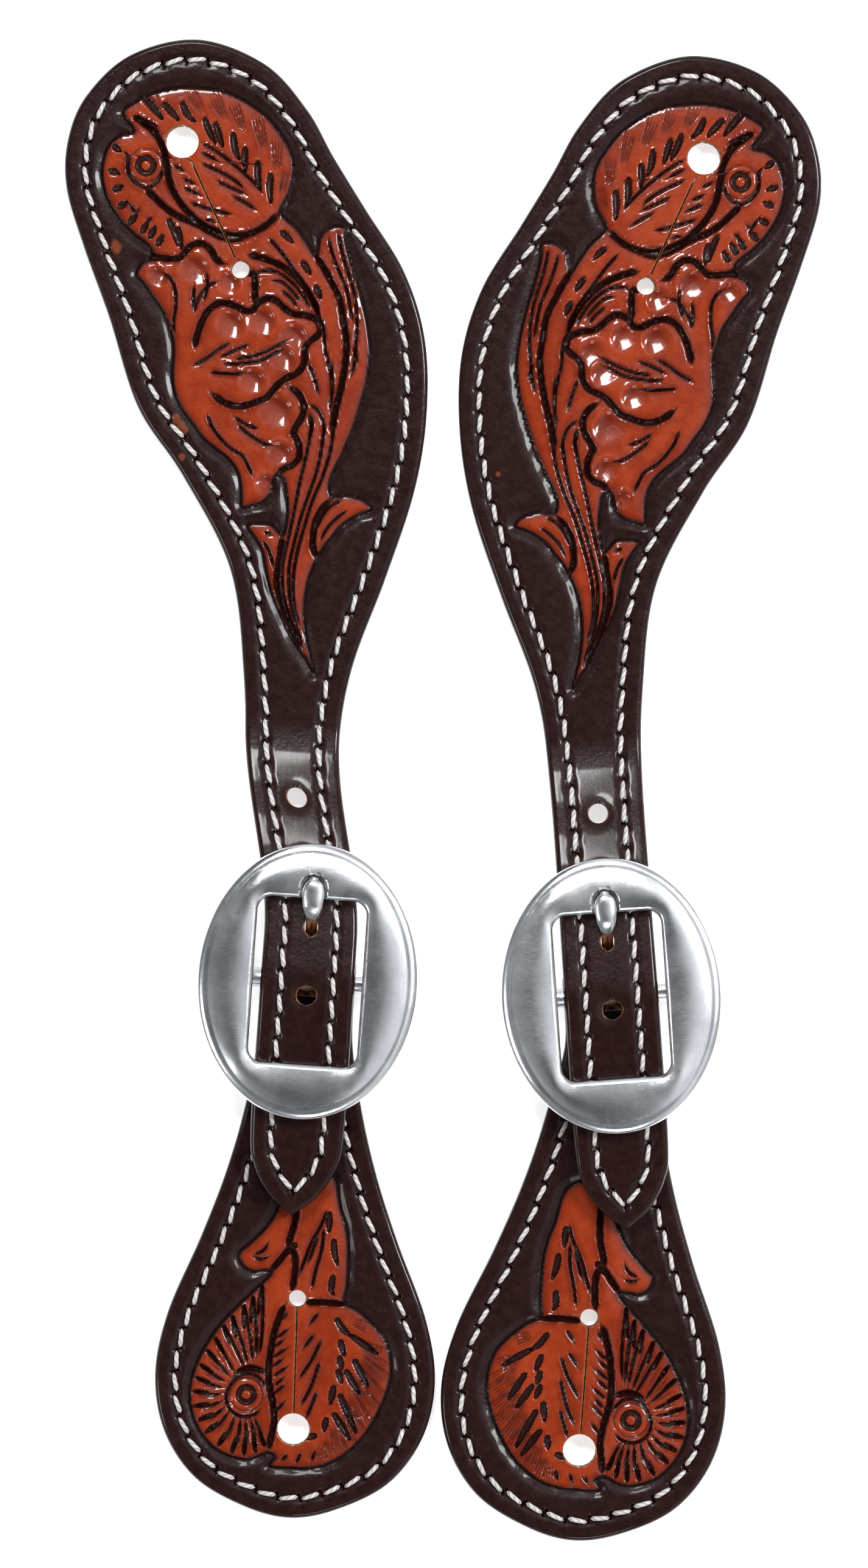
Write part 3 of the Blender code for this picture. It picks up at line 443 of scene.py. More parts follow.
class Carving:
    """A leather surface being tooled: a height, a dye edge, stains and painted shade for each
    point.
    """

    def __init__(self, at):
        self.at = at
        self.height = np.zeros(len(at))
        self.dye = np.full(len(at), -3.0)
        self.residue = np.zeros(len(at))
        self.painted_shade = np.zeros(len(at))
        self.worn = np.zeros(len(at))

    def motif(self, outline_points):
        """Sinks the ground round a closed motif and domes the motif. Outside, the height is the
        bevel's depth times e to the minus distance over its width, squared."""
        loop = curve(outline_points, 3, True)
        away = nearest(loop, self.at, 3.0)[0]
        within = inside(loop, self.at)
        dye = np.where(within, away, -away)
        self.dye = np.maximum(self.dye, dye)
        turns = np.arctan2(self.at[:, 0], self.at[:, 1])
        steps = 1.0 + 0.1 * np.sin(self.at @ (1.3, 1.1)) + 0.05 * np.sin(turns * 60.0)
        ground = -BEVEL_DEPTH * steps * np.exp(-((away / BEVEL_WIDTH) ** 2)) * (away < 2.99)
        dome = DOME * (1.0 - np.exp(-away / 1.1)) - 0.14
        self.height += np.where(within, dome, ground)
        edge = np.exp(-((np.maximum(away - 0.16, 0.0) / 0.24) ** 2))
        self.residue = np.maximum(self.residue, np.where(within, edge, 0.8 * edge))
        # Painted shade: the russet is darkened along the motif's edge, where the dome falls to the
        # cut.
        self.painted_shade = np.maximum(self.painted_shade, np.where(within, 0.55 * np.exp(-away / 0.9), 0.0))

    def cut(self, path, half_width, depth, lip=0.0, one_side=0.0, dark=1.0):
        """Cuts a V along a path that tapers at both ends, with a raised lip beside it. A one-sided
        cut also lowers the leather on the path's right, less and less with distance."""
        path = curve(path, 4)
        total = run_length(path)
        reach = half_width * 2.5 + 0.3 + 1.8 * (one_side > 0)
        away, along, side = nearest(path, self.at, reach)
        near = away < reach * 0.999
        taper = smooth(0.0, min(1.2, total / 3), along)
        taper = taper * smooth(total, total - min(2.0, total / 2), along)
        width = half_width * (0.45 + 0.55 * taper) * (1.0 + 0.07 * np.sin(along * 2.6 + path[0, 0]))
        groove = np.maximum(1.0 - away / width, 0.0)
        cut = -depth * (0.4 + 0.6 * taper) * groove**0.8
        cut += lip * np.exp(-(((away - width - 0.12) / 0.16) ** 2)) * taper
        cut -= one_side * taper * np.exp(-((away / 0.9) ** 2)) * (side < 0)
        self.height += np.where(near, cut, 0.0)
        mark = np.exp(-((away / (width * 0.92)) ** 4)) * (0.45 + 0.55 * taper) * dark
        self.residue = np.maximum(self.residue, np.where(near, mark, 0.0))
        # Painted shade: a halo of darker russet round each cut.
        painted_halo = 0.85 * dark * np.exp(-((away / (width + 0.6)) ** 2)) * taper
        self.painted_shade = np.maximum(self.painted_shade, np.where(near, painted_halo, 0.0))

    def notch(self, path, half_width=0.62, depth=0.55):
        """Presses a wedge that is widest at the path's start and closes at its end, with a small
        lump of leather pushed up at the wide end."""
        path = curve(path, 4)
        total = run_length(path)
        away, along, _ = nearest(path, self.at, half_width * 3)
        near = away < half_width * 2.99
        width = half_width * (0.35 + 0.75 * np.sin(np.pi * (0.25 + 0.7 * along / total)))
        width *= 1.0 + 0.14 * np.sin(along * 9.0)
        self.height += np.where(near, -depth * np.maximum(1.0 - (away / width) ** 2, 0.0), 0.0)
        mark = smooth(1.12, 0.72, away / width)
        self.residue = np.maximum(self.residue, np.where(near, mark * 1.3, 0.0))
        ahead = (path[0] - path[1]) / np.linalg.norm(path[0] - path[1])
        lump = np.linalg.norm(self.at - path[0] - 0.35 * ahead, axis=1)
        self.height += 0.16 * np.exp(-((lump / 0.4) ** 2))

    def hatch(self, start, end, count):
        """Presses a bundle of fine even lines side by side between two points."""
        start, end = np.array(start, float), np.array(end, float)
        across = np.array((end[1] - start[1], start[0] - end[0])) / np.linalg.norm(end - start)
        for k in range(count):
            slide = across * (k - (count - 1) / 2) * HATCH_SPREAD
            self.cut((start + slide, (start + end) / 2 + slide * 0.8, end + slide * 0.45), **HATCH)

    def scuff(self, x, y, radius):
        """Wears the dye off round a place."""
        away = np.hypot(self.at[:, 0] - x, (self.at[:, 1] - y) * 0.8)
        self.worn = np.maximum(self.worn, smooth(1.5, 0.3, away / radius))

    def dish(self, x, y, radius, depth=0.75):
        """Presses a thumbprint: a hollow that is steep at its upper right and fades at its lower
        left."""
        dx, dy = self.at[:, 0] - x, self.at[:, 1] - y
        share = np.hypot(dx, dy) / (radius * 1.1)
        lean = np.clip(0.55 + 0.5 * (0.5 * dx + dy) / radius, 0.05, 1.0)
        self.height -= depth * lean * np.maximum(1.0 - share**3, 0.0) ** 1.1
        self.height += 0.12 * np.exp(-(((share - 1.1) / 0.12) ** 2)) * lean
        # Painted shade: the hollow is darkened, most where it is steep at its upper right.
        self.painted_shade = np.maximum(self.painted_shade, smooth(1.08, 0.6, share) * (0.1 + 0.95 * lean**1.5))

    def seed(self, x, y):
        """Stamps a flower's seed: a dome in a dark ring in a wider groove."""
        away = np.hypot(self.at[:, 0] - x, self.at[:, 1] - y)
        self.height += 0.12 * smooth(*SEED_RINGS["dome"], away)
        ring = smooth(*SEED_RINGS["inside"], away) * smooth(*SEED_RINGS["outside"], away)
        self.height -= 0.6 * ring
        self.residue = np.maximum(self.residue, ring)
        groove = np.exp(-(((away - SEED_RINGS["groove"]) / 0.28) ** 2))
        self.height -= 0.25 * groove
        self.residue = np.maximum(self.residue, 0.55 * groove)

    def seam(self, path, pitch, first, last):
        """Presses a shallow channel along the seam and an awl hole between each two stitches."""
        away, along, side = nearest(path, self.at, 2.4)
        sewn = (along > first) & (along < last) & (away < 2.39)
        channel = 0.16 * smooth(1.5, 0.4, away)
        phase = (along - first) / pitch
        gap = (phase - np.round(phase)) * pitch
        slanted = np.hypot(gap / 0.5, (side * away + 0.35 * np.sign(gap)) / 0.42)
        hole = smooth(1.25, 0.55, slanted)
        pucker = 0.05 * np.cos(2 * np.pi * phase) * smooth(1.7, 0.6, away)
        self.height -= np.where(sewn, channel + 0.6 * hole + pucker, 0.0)
        self.residue = np.maximum(self.residue, np.where(sewn, hole, 0.0))


def carve(at, motif, grooves, cuts, notches, hatches, dishes, seed, wedges=()):
    """Works one motif into the leather, tool by tool. Wedges are the narrower notches."""
    work = Carving(at)
    work.motif(motif)
    for path in hatches:
        work.hatch(*path)
    for x, y, radius in dishes:
        work.dish(x, y, radius)
    for path in cuts:
        work.cut(path, **FINE_CUT)
    for path in grooves:
        work.cut(path, **GROOVE)
    for path in notches:
        work.notch(path)
    for path in wedges:
        work.notch(path, **WEDGE)
    work.seed(*seed)
    work.residue *= work.dye > -0.9
    return work


def carved_wing(at):
    """The wing's flower, leaf and scroll."""
    return carve(at, WING_MOTIF, WING_GROOVES, WING_CUTS, WING_NOTCHES, WING_HATCHES, WING_DISHES,
                 WING_SEED)


def carved_heel(at):
    """The heel's shell and leaf. The shell's ribs run in from its rim to the ring round the seed,
    with a wedge on each one and a fine line between each two."""
    seed = np.array(HEEL_SEED)
    ribs = []
    for end in np.array(SHELL_RIBS):
        out = end - seed
        if end[1] < RIBS_RADIAL_BELOW:
            start = seed + out * (RIB_START / np.linalg.norm(out))
        else:
            start = seed + out * 0.34 + UPPER_RIB_SHIFT
        ribs.append((end, (start + end) / 2 + RIB_BOW, start))
    wedges = [(end * 0.96 + seed * 0.04, end * 0.72 + seed * 0.28) for end, _, _ in ribs]
    between = [((a[0] + b[0]) / 2, (a[2] + b[2]) / 2) for a, b in zip(ribs[:-1], ribs[1:])]
    fine = [(a * 0.85 + c * 0.15, a * 0.2 + c * 0.8, 1) for a, c in between]
    return carve(at, HEEL_MOTIF, HEEL_GROOVES, HEEL_CUTS + tuple(ribs), HEEL_NOTCHES,
                 HEEL_HATCHES + tuple(fine), (), HEEL_SEED, wedges)


SHARP_ANGLE = math.radians(48)


def mesh_object(name, points, faces, material, values=None, lay=None):
    """A closed mesh in place from points in metres and four-cornered faces. Points that fall
    together are joined, and a face loses the corners that coincide. If the volume under the
    faces comes out negative, they look inwards and are all turned round. Joined points keep
    their greatest value, except the dye's edge, where the last one counts."""
    faces = np.asarray(faces)
    a, b, c, d = (points[faces[:, k]] for k in range(4))
    if ((np.cross(b - a, c - a) * a).sum() + (np.cross(c - a, d - a) * a).sum()) < 0:
        faces = faces[:, ::-1]
        lay = None if lay is None else lay[:, ::-1]
    points, index = np.unique(np.round(points, 8), axis=0, return_inverse=True)
    index = index.reshape(-1)
    faces = index[faces]
    kept = faces != np.roll(faces, -1, axis=1)
    whole = (kept.sum(1) > 2) & (faces[:, 0] != faces[:, 2]) & (faces[:, 1] != faces[:, 3])
    faces, kept = faces[whole], kept[whole]
    lay = None if lay is None else lay[whole][kept]
    corners = faces[kept]
    used, corners = np.unique(corners, return_inverse=True)
    points = points[used]
    counts = kept.sum(1)
    mesh = bpy.data.meshes.new(name)
    mesh.vertices.add(len(points))
    mesh.loops.add(len(corners))
    mesh.polygons.add(len(counts))
    mesh.vertices.foreach_set("co", points.astype(np.float32).ravel())
    mesh.loops.foreach_set("vertex_index", corners.reshape(-1).astype(np.int32))
    mesh.polygons.foreach_set("loop_start", np.r_[0, np.cumsum(counts)[:-1]].astype(np.int32))
    for label, value in (values or {}).items():
        joined_value = np.zeros(index.max() + 1)
        if label == "dye":
            joined_value[index] = value
        else:
            np.maximum.at(joined_value, index, value)
        layer = mesh.attributes.new(label, "FLOAT", "POINT")
        layer.data.foreach_set("value", joined_value[used].astype(np.float32))
    mesh.update(calc_edges=True)
    if lay is not None:
        mesh.uv_layers.new(name="lay").data.foreach_set("uv", lay.astype(np.float32).ravel())
    mesh.shade_smooth()
    mesh.set_sharp_from_angle(angle=SHARP_ANGLE)
    mesh.materials.append(material)
    obj = bpy.data.objects.new(name, mesh)
    bpy.context.scene.collection.objects.link(obj)
    return obj


def edge_lines(right, left, round_high):
    """Both long edges of a strap as lines from its low end to its high end. One curve runs
    unbroken round the end that is round."""
    right, left = np.array(right, float), np.array(left, float)
    if round_high:
        line, middle = curve(np.vstack([right, left[-2::-1]]), 24), 24 * (len(right) - 1)
        sides = line[: middle + 1], line[middle:][::-1]
    else:
        line, middle = curve(np.vstack([left[::-1], right[1:]]), 24), 24 * (len(left) - 1)
        sides = line[middle:], line[: middle + 1][::-1]
    return [np.column_stack([side[:, 0], np.maximum.accumulate(side[:, 1])]) for side in sides]


ROUND_END = 6.0


def row_places(low, high, step, holes, round_low=False, round_high=False):
    """Places of rows along a strap: even steps, sine steps over each hole, and closing up towards
    a round end as the distance's share of ROUND_END to the power 2.2."""
    rows = np.linspace(low, high, int(round((high - low) / step)) + 1)
    kept = np.ones(len(rows), bool)
    extra = []
    for middle, radius in holes:
        kept &= np.abs(rows - middle) > radius + 0.35 * step
        turns = max(10, int(radius * np.pi / step))
        extra.append(middle + radius * np.sin(np.linspace(-np.pi / 2, np.pi / 2, turns)))
    for is_round, end, way in ((round_low, low, 1), (round_high, high, -1)):
        if is_round:
            kept &= np.abs(rows - end) > ROUND_END
            closing = np.linspace(0.0, 1.0, int(13.0 / step)) ** 2.2
            extra.append(end + way * ROUND_END * closing)
    return np.unique(np.round(np.concatenate([rows[kept], *extra]), 4))


def opening_sides(rows, middle_line, circles, slit, oval=None):
    """Left and right edges of the openings on a strap's middle line, row by row. They meet where
    the leather is whole. A circle's half width is the root of its radius squared less the
    distance from its middle squared, and an oval's follows the same rule to a higher power."""
    along, across = np.array(middle_line, float).T
    middle = np.interp(rows, along, across)
    left, right = middle.copy(), middle.copy()
    if slit:
        (x0, y0, _), (x1, y1, _) = slit
        cut = (rows > min(y0, y1)) & (rows < max(y0, y1))
        for _, y, radius in circles:
            cut &= np.abs(rows - y) > radius
        wide = SLIT_HALF * np.hypot(1.0, (x1 - x0) / (y1 - y0))
        left, right = left - wide * cut, right + wide * cut
    for x, y, radius in circles:
        here = np.abs(rows - y) <= radius + 1e-6
        half = np.sqrt(np.maximum(radius**2 - (rows - y) ** 2, 0.0))
        whole = right - left < 1e-9
        left = np.where(here, np.where(whole, x - half, np.minimum(left, x - half)), left)
        right = np.where(here, np.where(whole, x + half, np.maximum(right, x + half)), right)
    if oval:
        start, end, half_width, power = oval
        share = np.clip((rows - (start + end) / 2) / ((end - start) / 2), -1.0, 1.0)
        half = half_width * (1.0 - np.abs(share) ** power) ** (1 / power)
        left, right = np.minimum(left, middle - half), np.maximum(right, middle + half)
    return left, right


# How far in from a strap's edge, and from an opening's rim, the close columns are
EDGE_STEPS = np.array((0.0, 0.03, 0.12, 0.27, 0.46, 0.7, 1.0, 1.4))
RIM_STEPS = np.array((0.0, 0.06, 0.17, 0.34))
NARROW = 3.2


def across_places(outer, opening, columns):
    """Column places from an outer edge to the opening: close at both ends and even between. The
    close ones squeeze together where the leather is narrow."""
    width = (opening - outer)[:, None]
    wide, squeeze = np.abs(width), np.minimum(1.0, np.abs(width) / NARROW)
    edge, rim = EDGE_STEPS * squeeze, RIM_STEPS[::-1] * squeeze
    start, end = edge[:, -1:], wide - rim[:, :1]
    even = start + (end - start) * (np.arange(1, columns) / columns)
    return outer[:, None] + np.sign(width) * np.hstack([edge, even, wide - rim])


def quarter_round(away, radius):
    """How far a rounded edge has dropped at a distance in from it: a quarter of a circle."""
    inset = np.clip(radius - away, 0.0, radius)
    return radius - np.sqrt(np.maximum(radius**2 - inset**2, 0.0))


def end_cap(ring, count, flip):
    """Faces that close a layer's end: a fan from the finished side to the back's far corner."""
    top, under = ring[: count - 1], ring[1:count]
    corner = np.full(count - 1, ring[-2])
    tail = np.array([[ring[count - 1], ring[count], ring[count + 1], ring[-2]],
                     [ring[-2], ring[-1], ring[0], ring[0]]])
    cap = np.vstack([np.stack([top, under, corner, corner], -1), tail])
    return cap[:, ::-1] if flip else cap


def leather_layer(name, rows, edges, openings, columns, worked, place, back, material,
                  caps=(False, False)):
    """A layer of leather. Each row across the strap is a closed section on each side of the middle
    line: the finished side with rounded edges, the walls and the flat back. worked gives the
    finished side's heights, stains and painted shade, back gives each row's thickness, and place
    bends (x, along, depth) into metres."""
    right_x = np.interp(rows, edges[0][:, 1], edges[0][:, 0])
    left_x = np.interp(rows, edges[1][:, 1], edges[1][:, 0])
    loop = np.vstack([edges[0], edges[1][::-1]])
    thick = back(rows)[:, None]
    is_open = (openings[1] - openings[0] > 1e-6)[:, None]
    chamfer_in, chamfer_up = BACK_CHAMFER
    points, faces, values, first = [], [], {}, 0
    for outer, opening, is_right in ((left_x, openings[0], False), (right_x, openings[1], True)):
        flat_x = across_places(outer, opening, columns)
        outer, opening = outer[:, None], opening[:, None]
        count = flat_x.shape[1]
        work = worked(np.column_stack([flat_x.ravel(), np.repeat(rows, count)]))
        away = nearest(loop, work.at, 2.0)[0]
        rim_away = np.minimum(np.abs(flat_x - opening), 2.0)
        rim = quarter_round(rim_away, RIM_ROUND) * is_open
        depth = quarter_round(away, EDGE_ROUND) - work.height * smooth(0.6, 1.8, away)
        depth = depth.reshape(len(rows), count) + rim
        low = chamfer_in * np.sign(opening - outer) * np.minimum(1, np.abs(opening - outer))
        ring_x = np.hstack([flat_x, opening, opening, outer + low, outer])
        ring_depth = np.hstack([depth, np.maximum(thick - WALL_CLEARANCE, depth[:, -1:]), thick,
                                thick, np.maximum(thick - chamfer_up, depth[:, :1])])
        size = count + 4
        points.append(np.column_stack([ring_x.ravel(), np.repeat(rows, size), ring_depth.ravel()]))
        pad = np.zeros((len(rows), 4))
        # The painted shade of the hollows and cuts travels here with the real stains and wear.
        stains_and_shade = {"residue": work.residue, "painted_shade": work.painted_shade, "worn": work.worn}
        stains_and_shade = {label: np.hstack([value.reshape(len(rows), count), pad])
                  for label, value in stains_and_shade.items()}
        dye = work.dye.reshape(len(rows), count)
        stains_and_shade["dye"] = np.hstack([dye, dye[:, -1:], dye[:, -1:], pad[:, :2] - 3.0])
        stains_and_shade["raw"] = np.hstack([np.clip(1.0 - rim_away / RAW_REACH, 0, 1) * is_open,
                                   is_open * (1.0, 1.0, 0.0, 0.0)])
        stains_and_shade["burnish"] = np.hstack([smooth(1.1, 0.2, away).reshape(len(rows), count),
                                       pad + (0.0, 0.0, 1.0, 1.0)])
        for label, value in stains_and_shade.items():
            values.setdefault(label, []).append(value.ravel())
        i, k = np.meshgrid(np.arange(len(rows) - 1), np.arange(size), indexing="ij")
        here, beside = first + i * size + k, first + i * size + (k + 1) % size
        quads = np.stack([here, beside, beside + size, here + size], -1)
        shut = ~(is_open[:-1] | is_open[1:])
        inner = (k >= count - 1) & (k <= count)
        quads = quads[~(inner & shut)]
        faces.append(quads[:, ::-1] if is_right else quads)
        for end, capped in zip((0, len(rows) - 1), caps):
            if capped:
                ring = first + end * size + np.arange(size)
                faces.append(end_cap(ring, count, (end == 0) != is_right))
        first += len(rows) * size
    values = {label: np.concatenate(value) for label, value in values.items()}
    return mesh_object(name, place(np.vstack(points)), np.vstack(faces), material, values)


class Strap:
    """How one strap of the pair is bent, turned and laid."""

    def __init__(self, side):
        self.side = side
        self.mirror, self.bar, turn, self.sway, lean, self.short_size = SIDES[side]
        self.turn, self.lean = math.radians(turn), math.radians(lean)
        self.lift = CAD_BOX[0].z / MM

    def lay(self, points):
        """Mirrors, turns and moves points of the strap's own frame into place, in metres."""
        x, y, z = np.asarray(points, float).T
        x = x * self.mirror
        c, s = math.cos(self.turn), math.sin(self.turn)
        return np.column_stack(
            [x * c - y * s + self.bar[0], x * s + y * c + self.bar[1], z + self.lift]
        ) * MM

    def long_place(self, points, height=None):
        """Bends the long strap: its billet sways sideways and rises over the bar."""
        x, y, depth = points.T
        z = through(BILLET_REST, y) + (LEATHER - depth if height is None else height)
        return self.lay(np.column_stack([x + self.sway * smooth(SWAY_FROM, SWAY_TO, y), y, z]))

    def long_lining_place(self, points):
        """Bends the long strap's lining, whose depths are measured up from its worked back."""
        return self.long_place(points, points[:, 2])

    def short_plan(self, x, y):
        """Where the heel strap's flat points lie in plan, leant and sized below the bar."""
        turn = self.lean * smooth(LEAN_ABOUT, LEAN_TO, y)
        size = 1.0 + (self.short_size - 1.0) * smooth(LEAN_ABOUT, LEAN_TO, y)
        x, along = x * size, (y - LEAN_ABOUT) * size
        return (x * np.cos(turn) - along * np.sin(turn),
                LEAN_ABOUT + x * np.sin(turn) + along * np.cos(turn))

    def short_place(self, points):
        """Bends the heel strap: it leans about the bar, runs up over it and folds back under."""
        x, along, depth = points.T
        front_x, front_y = self.short_plan(x, along)
        turn_length = math.pi * (BAR_HEIGHT - FOLD / 2)
        angle = np.clip(along / turn_length, 0.0, 1.0) * math.pi
        back = np.maximum(along - turn_length, 0.0)
        radius = BAR_HEIGHT - depth
        front = along < 0
        y = np.where(front, front_y, radius * np.sin(angle) - back)
        z = BAR_HEIGHT + radius * np.cos(angle)
        z = np.where(front, through(SHORT_TOP, front_y) - depth, z)
        return self.lay(np.column_stack([np.where(front, front_x, x), y, z]))

    def short_lining_place(self, points):
        """Lays the heel strap's lining flat, or lifted where the leather over it rises."""
        x, y = self.short_plan(points[:, 0], points[:, 1])
        lift = np.maximum(through(SHORT_TOP, y) - LEATHER - LINING_DROP, 0.0)
        return self.lay(np.column_stack([x, y, points[:, 2] + lift]))


WING_MIDDLE = ((-42.7, 0.0), (36.0, 0.0), (128.3, -15.4), (150.8, -27.6), (169.6, -26.0))
HEEL_MIDDLE = ((-99.4, 0.0), (29.7, 0.0))
SEAM_SKIPS_ABOVE = -9.0
LONG_EDGES = edge_lines(LONG_RIGHT, LONG_LEFT, True)
SHORT_EDGES = edge_lines(SHORT_RIGHT, [(-x, y) for x, y in SHORT_RIGHT], False)


def long_seam():
    """The long strap's seam: a closed line inside its edge."""
    loop = curve(np.vstack([LONG_RIGHT, LONG_LEFT[-2:0:-1]]), 12)
    line = inset_line(loop, SEAM_INSET)
    return np.vstack([line, line[:1]])


def short_seam():
    """The heel strap's seam, from one side of the bar round the heel to the other."""
    left, right = SHORT_EDGES[1][::-1], SHORT_EDGES[0][1:]
    loop = np.vstack([left, right])
    loop = loop[loop[:, 1] < SEAM_SKIPS_ABOVE][::4]
    return inset_line(loop, SEAM_INSET)


def inset_line(line, distance):
    """A line moved to its left by a distance, square to the mean of its two spans' directions,
    with the points that crowd at a tight bend left out."""
    ahead = np.gradient(line, axis=0)
    ahead /= np.linalg.norm(ahead, axis=1)[:, None]
    moved = line + distance * np.column_stack([-ahead[:, 1], ahead[:, 0]])
    away = nearest(line, moved, distance + 1.0)[0]
    moved = moved[away > distance - 0.06]
    return curve(moved[::2], 3)


def run_length(path):
    """The length of a path."""
    return np.linalg.norm(np.diff(path, axis=0), axis=1).sum()


def even_pitch(path, pitch):
    """The pitch nearest to the one asked for that fills the path with whole stitches."""
    return run_length(path) / round(run_length(path) / pitch)


LONG_SEAM, SHORT_SEAM = long_seam(), short_seam()
LONG_PITCH, SHORT_PITCH = (even_pitch(path, STITCH_PITCH) for path in (LONG_SEAM, SHORT_SEAM))


def worked_wing(at, scuffs):
    """The wing, carved, rubbed in places and sewn."""
    work = carved_wing(at)
    for scuff in scuffs:
        work.scuff(*scuff)
    return sewn_long(work)


def worked_billet(at):
    """The billet, sewn and pressed down round its holes."""
    work = sewn_long(Carving(at))
    for _, y, radius in BILLET_HOLES:
        away = np.hypot(at[:, 0], at[:, 1] - y)
        work.height -= 0.22 * np.exp(-((np.maximum(away - radius, 0.0) / 0.9) ** 2))
    return work


def worked_heel(at):
    """The heel strap, carved and sewn."""
    return sewn_short(carved_heel(at))


def worked_back_long(at):
    """The long strap's back, with the slit between its button holes scored in."""
    work = Carving(at)
    work.cut([hole[:2] for hole in WING_HOLES], **SLIT_SCORE)
    return sewn_long(work)


def worked_back_short(at):
    """The heel strap's back, with the slit between its button holes scored in."""
    work = Carving(at)
    work.cut([hole[:2] for hole in HEEL_HOLES], **SLIT_SCORE)
    return sewn_short(work)


def sewn_long(work):
    work.seam(LONG_SEAM, LONG_PITCH, 0.0, run_length(LONG_SEAM))
    return work


def sewn_short(work):
    work.seam(SHORT_SEAM, SHORT_PITCH, 0.0, run_length(SHORT_SEAM))
    return work


def stitches(name, path, pitch, place, radius, rise, slant, sink, material):
    """Slanted stitches along a seam. Each is a tube whose middle rises from one awl hole and
    dips into the next as a flattened sine, and whose radius narrows at both ends."""
    count = int(round(run_length(path) / pitch))
    lengths = np.r_[0.0, np.cumsum(np.linalg.norm(np.diff(path, axis=0), axis=1))]
    steps, turns = STITCH_FACES
    middle = (np.arange(count) + 0.5) * pitch
    wander = np.sin(np.arange(count) * 2.399) * 0.5 + np.sin(np.arange(count) * 1.17) * 0.5

    def on_path(along):
        return np.column_stack([np.interp(along, lengths, path[:, k]) for k in (0, 1)])

    ahead = on_path(middle + 0.6) - on_path(middle - 0.6)
    heading = np.arctan2(ahead[:, 1], ahead[:, 0]) + math.radians(slant) + 0.035 * wander
    ahead = np.column_stack([np.cos(heading), np.sin(heading)])
    centre = on_path(middle)
    t = np.linspace(-1.0, 1.0, steps)
    angle = np.arange(turns) * 2 * np.pi / turns
    half = 0.5 * (pitch - STITCH_GAP) * (1.0 + 0.03 * wander[:, None])
    body = radius * (1.0 - np.abs(t) ** 6) ** 0.5 * (1.0 + 0.06 * np.sin(t * 2.0))
    lift = rise * (1.0 - np.abs(t) ** 3.2) - sink * np.abs(t) ** 3.2
    flat = centre[:, None] + ahead[:, None] * (half * t)[..., None]
    side = np.stack([-ahead[:, 1], ahead[:, 0]], -1)[:, None, None] * 1.08
    ring = flat[:, :, None] + side * (body[None, :, None] * np.cos(angle))[..., None]
    depth = -(lift[:, None] + body[:, None] * np.sin(angle) * 0.92)
    points = place(np.column_stack([ring.reshape(-1, 2), np.tile(depth.ravel(), count)]))
    n, i, k = np.meshgrid(np.arange(count), np.arange(steps - 1), np.arange(turns), indexing="ij")
    base, nxt = (n * steps + i) * turns, (k + 1) % turns
    faces = np.stack([base + k, base + nxt, base + turns + nxt, base + turns + k], -1)
    u, v = i / (steps - 1) + n * 0.37, k / turns
    u_end, v_end = u + 1 / (steps - 1), v + 1 / turns
    lay = np.stack([np.stack([u, v], -1), np.stack([u, v_end], -1),
                    np.stack([u_end, v_end], -1), np.stack([u_end, v], -1)], -2)
    return mesh_object(name, points, faces.reshape(-1, 4), material, None, lay.reshape(-1, 4, 2))


def tube_faces(rings, around, closed=False):
    """Faces of a tube of rings. A closed one joins its last ring to its first."""
    i, k = np.meshgrid(np.arange(rings if closed else rings - 1), np.arange(around), indexing="ij")
    here, there, nxt = i * around, (i + 1) % rings * around, (k + 1) % around
    return np.stack([here + k, here + nxt, there + nxt, there + k], -1).reshape(-1, 4)


def window_line(angles):
    """The window met along the given angles: a rectangle with round corners. Along the ray the
    nearest of the two flat sides counts, or the corner's circle between them."""
    ray = np.column_stack([np.cos(angles), np.sin(angles)])
    reach = (WINDOW_HALF / np.maximum(np.abs(ray), 1e-9)).min(1)
    core = WINDOW_HALF - WINDOW_CORNER
    along = np.abs(ray) @ core
    corner = along + np.sqrt(np.maximum(along**2 - core @ core + WINDOW_CORNER**2, 0.0))
    at = np.abs(ray) * reach[:, None]
    cornered = (at > core).all(1)
    return ray * np.where(cornered, corner, reach)[:, None]


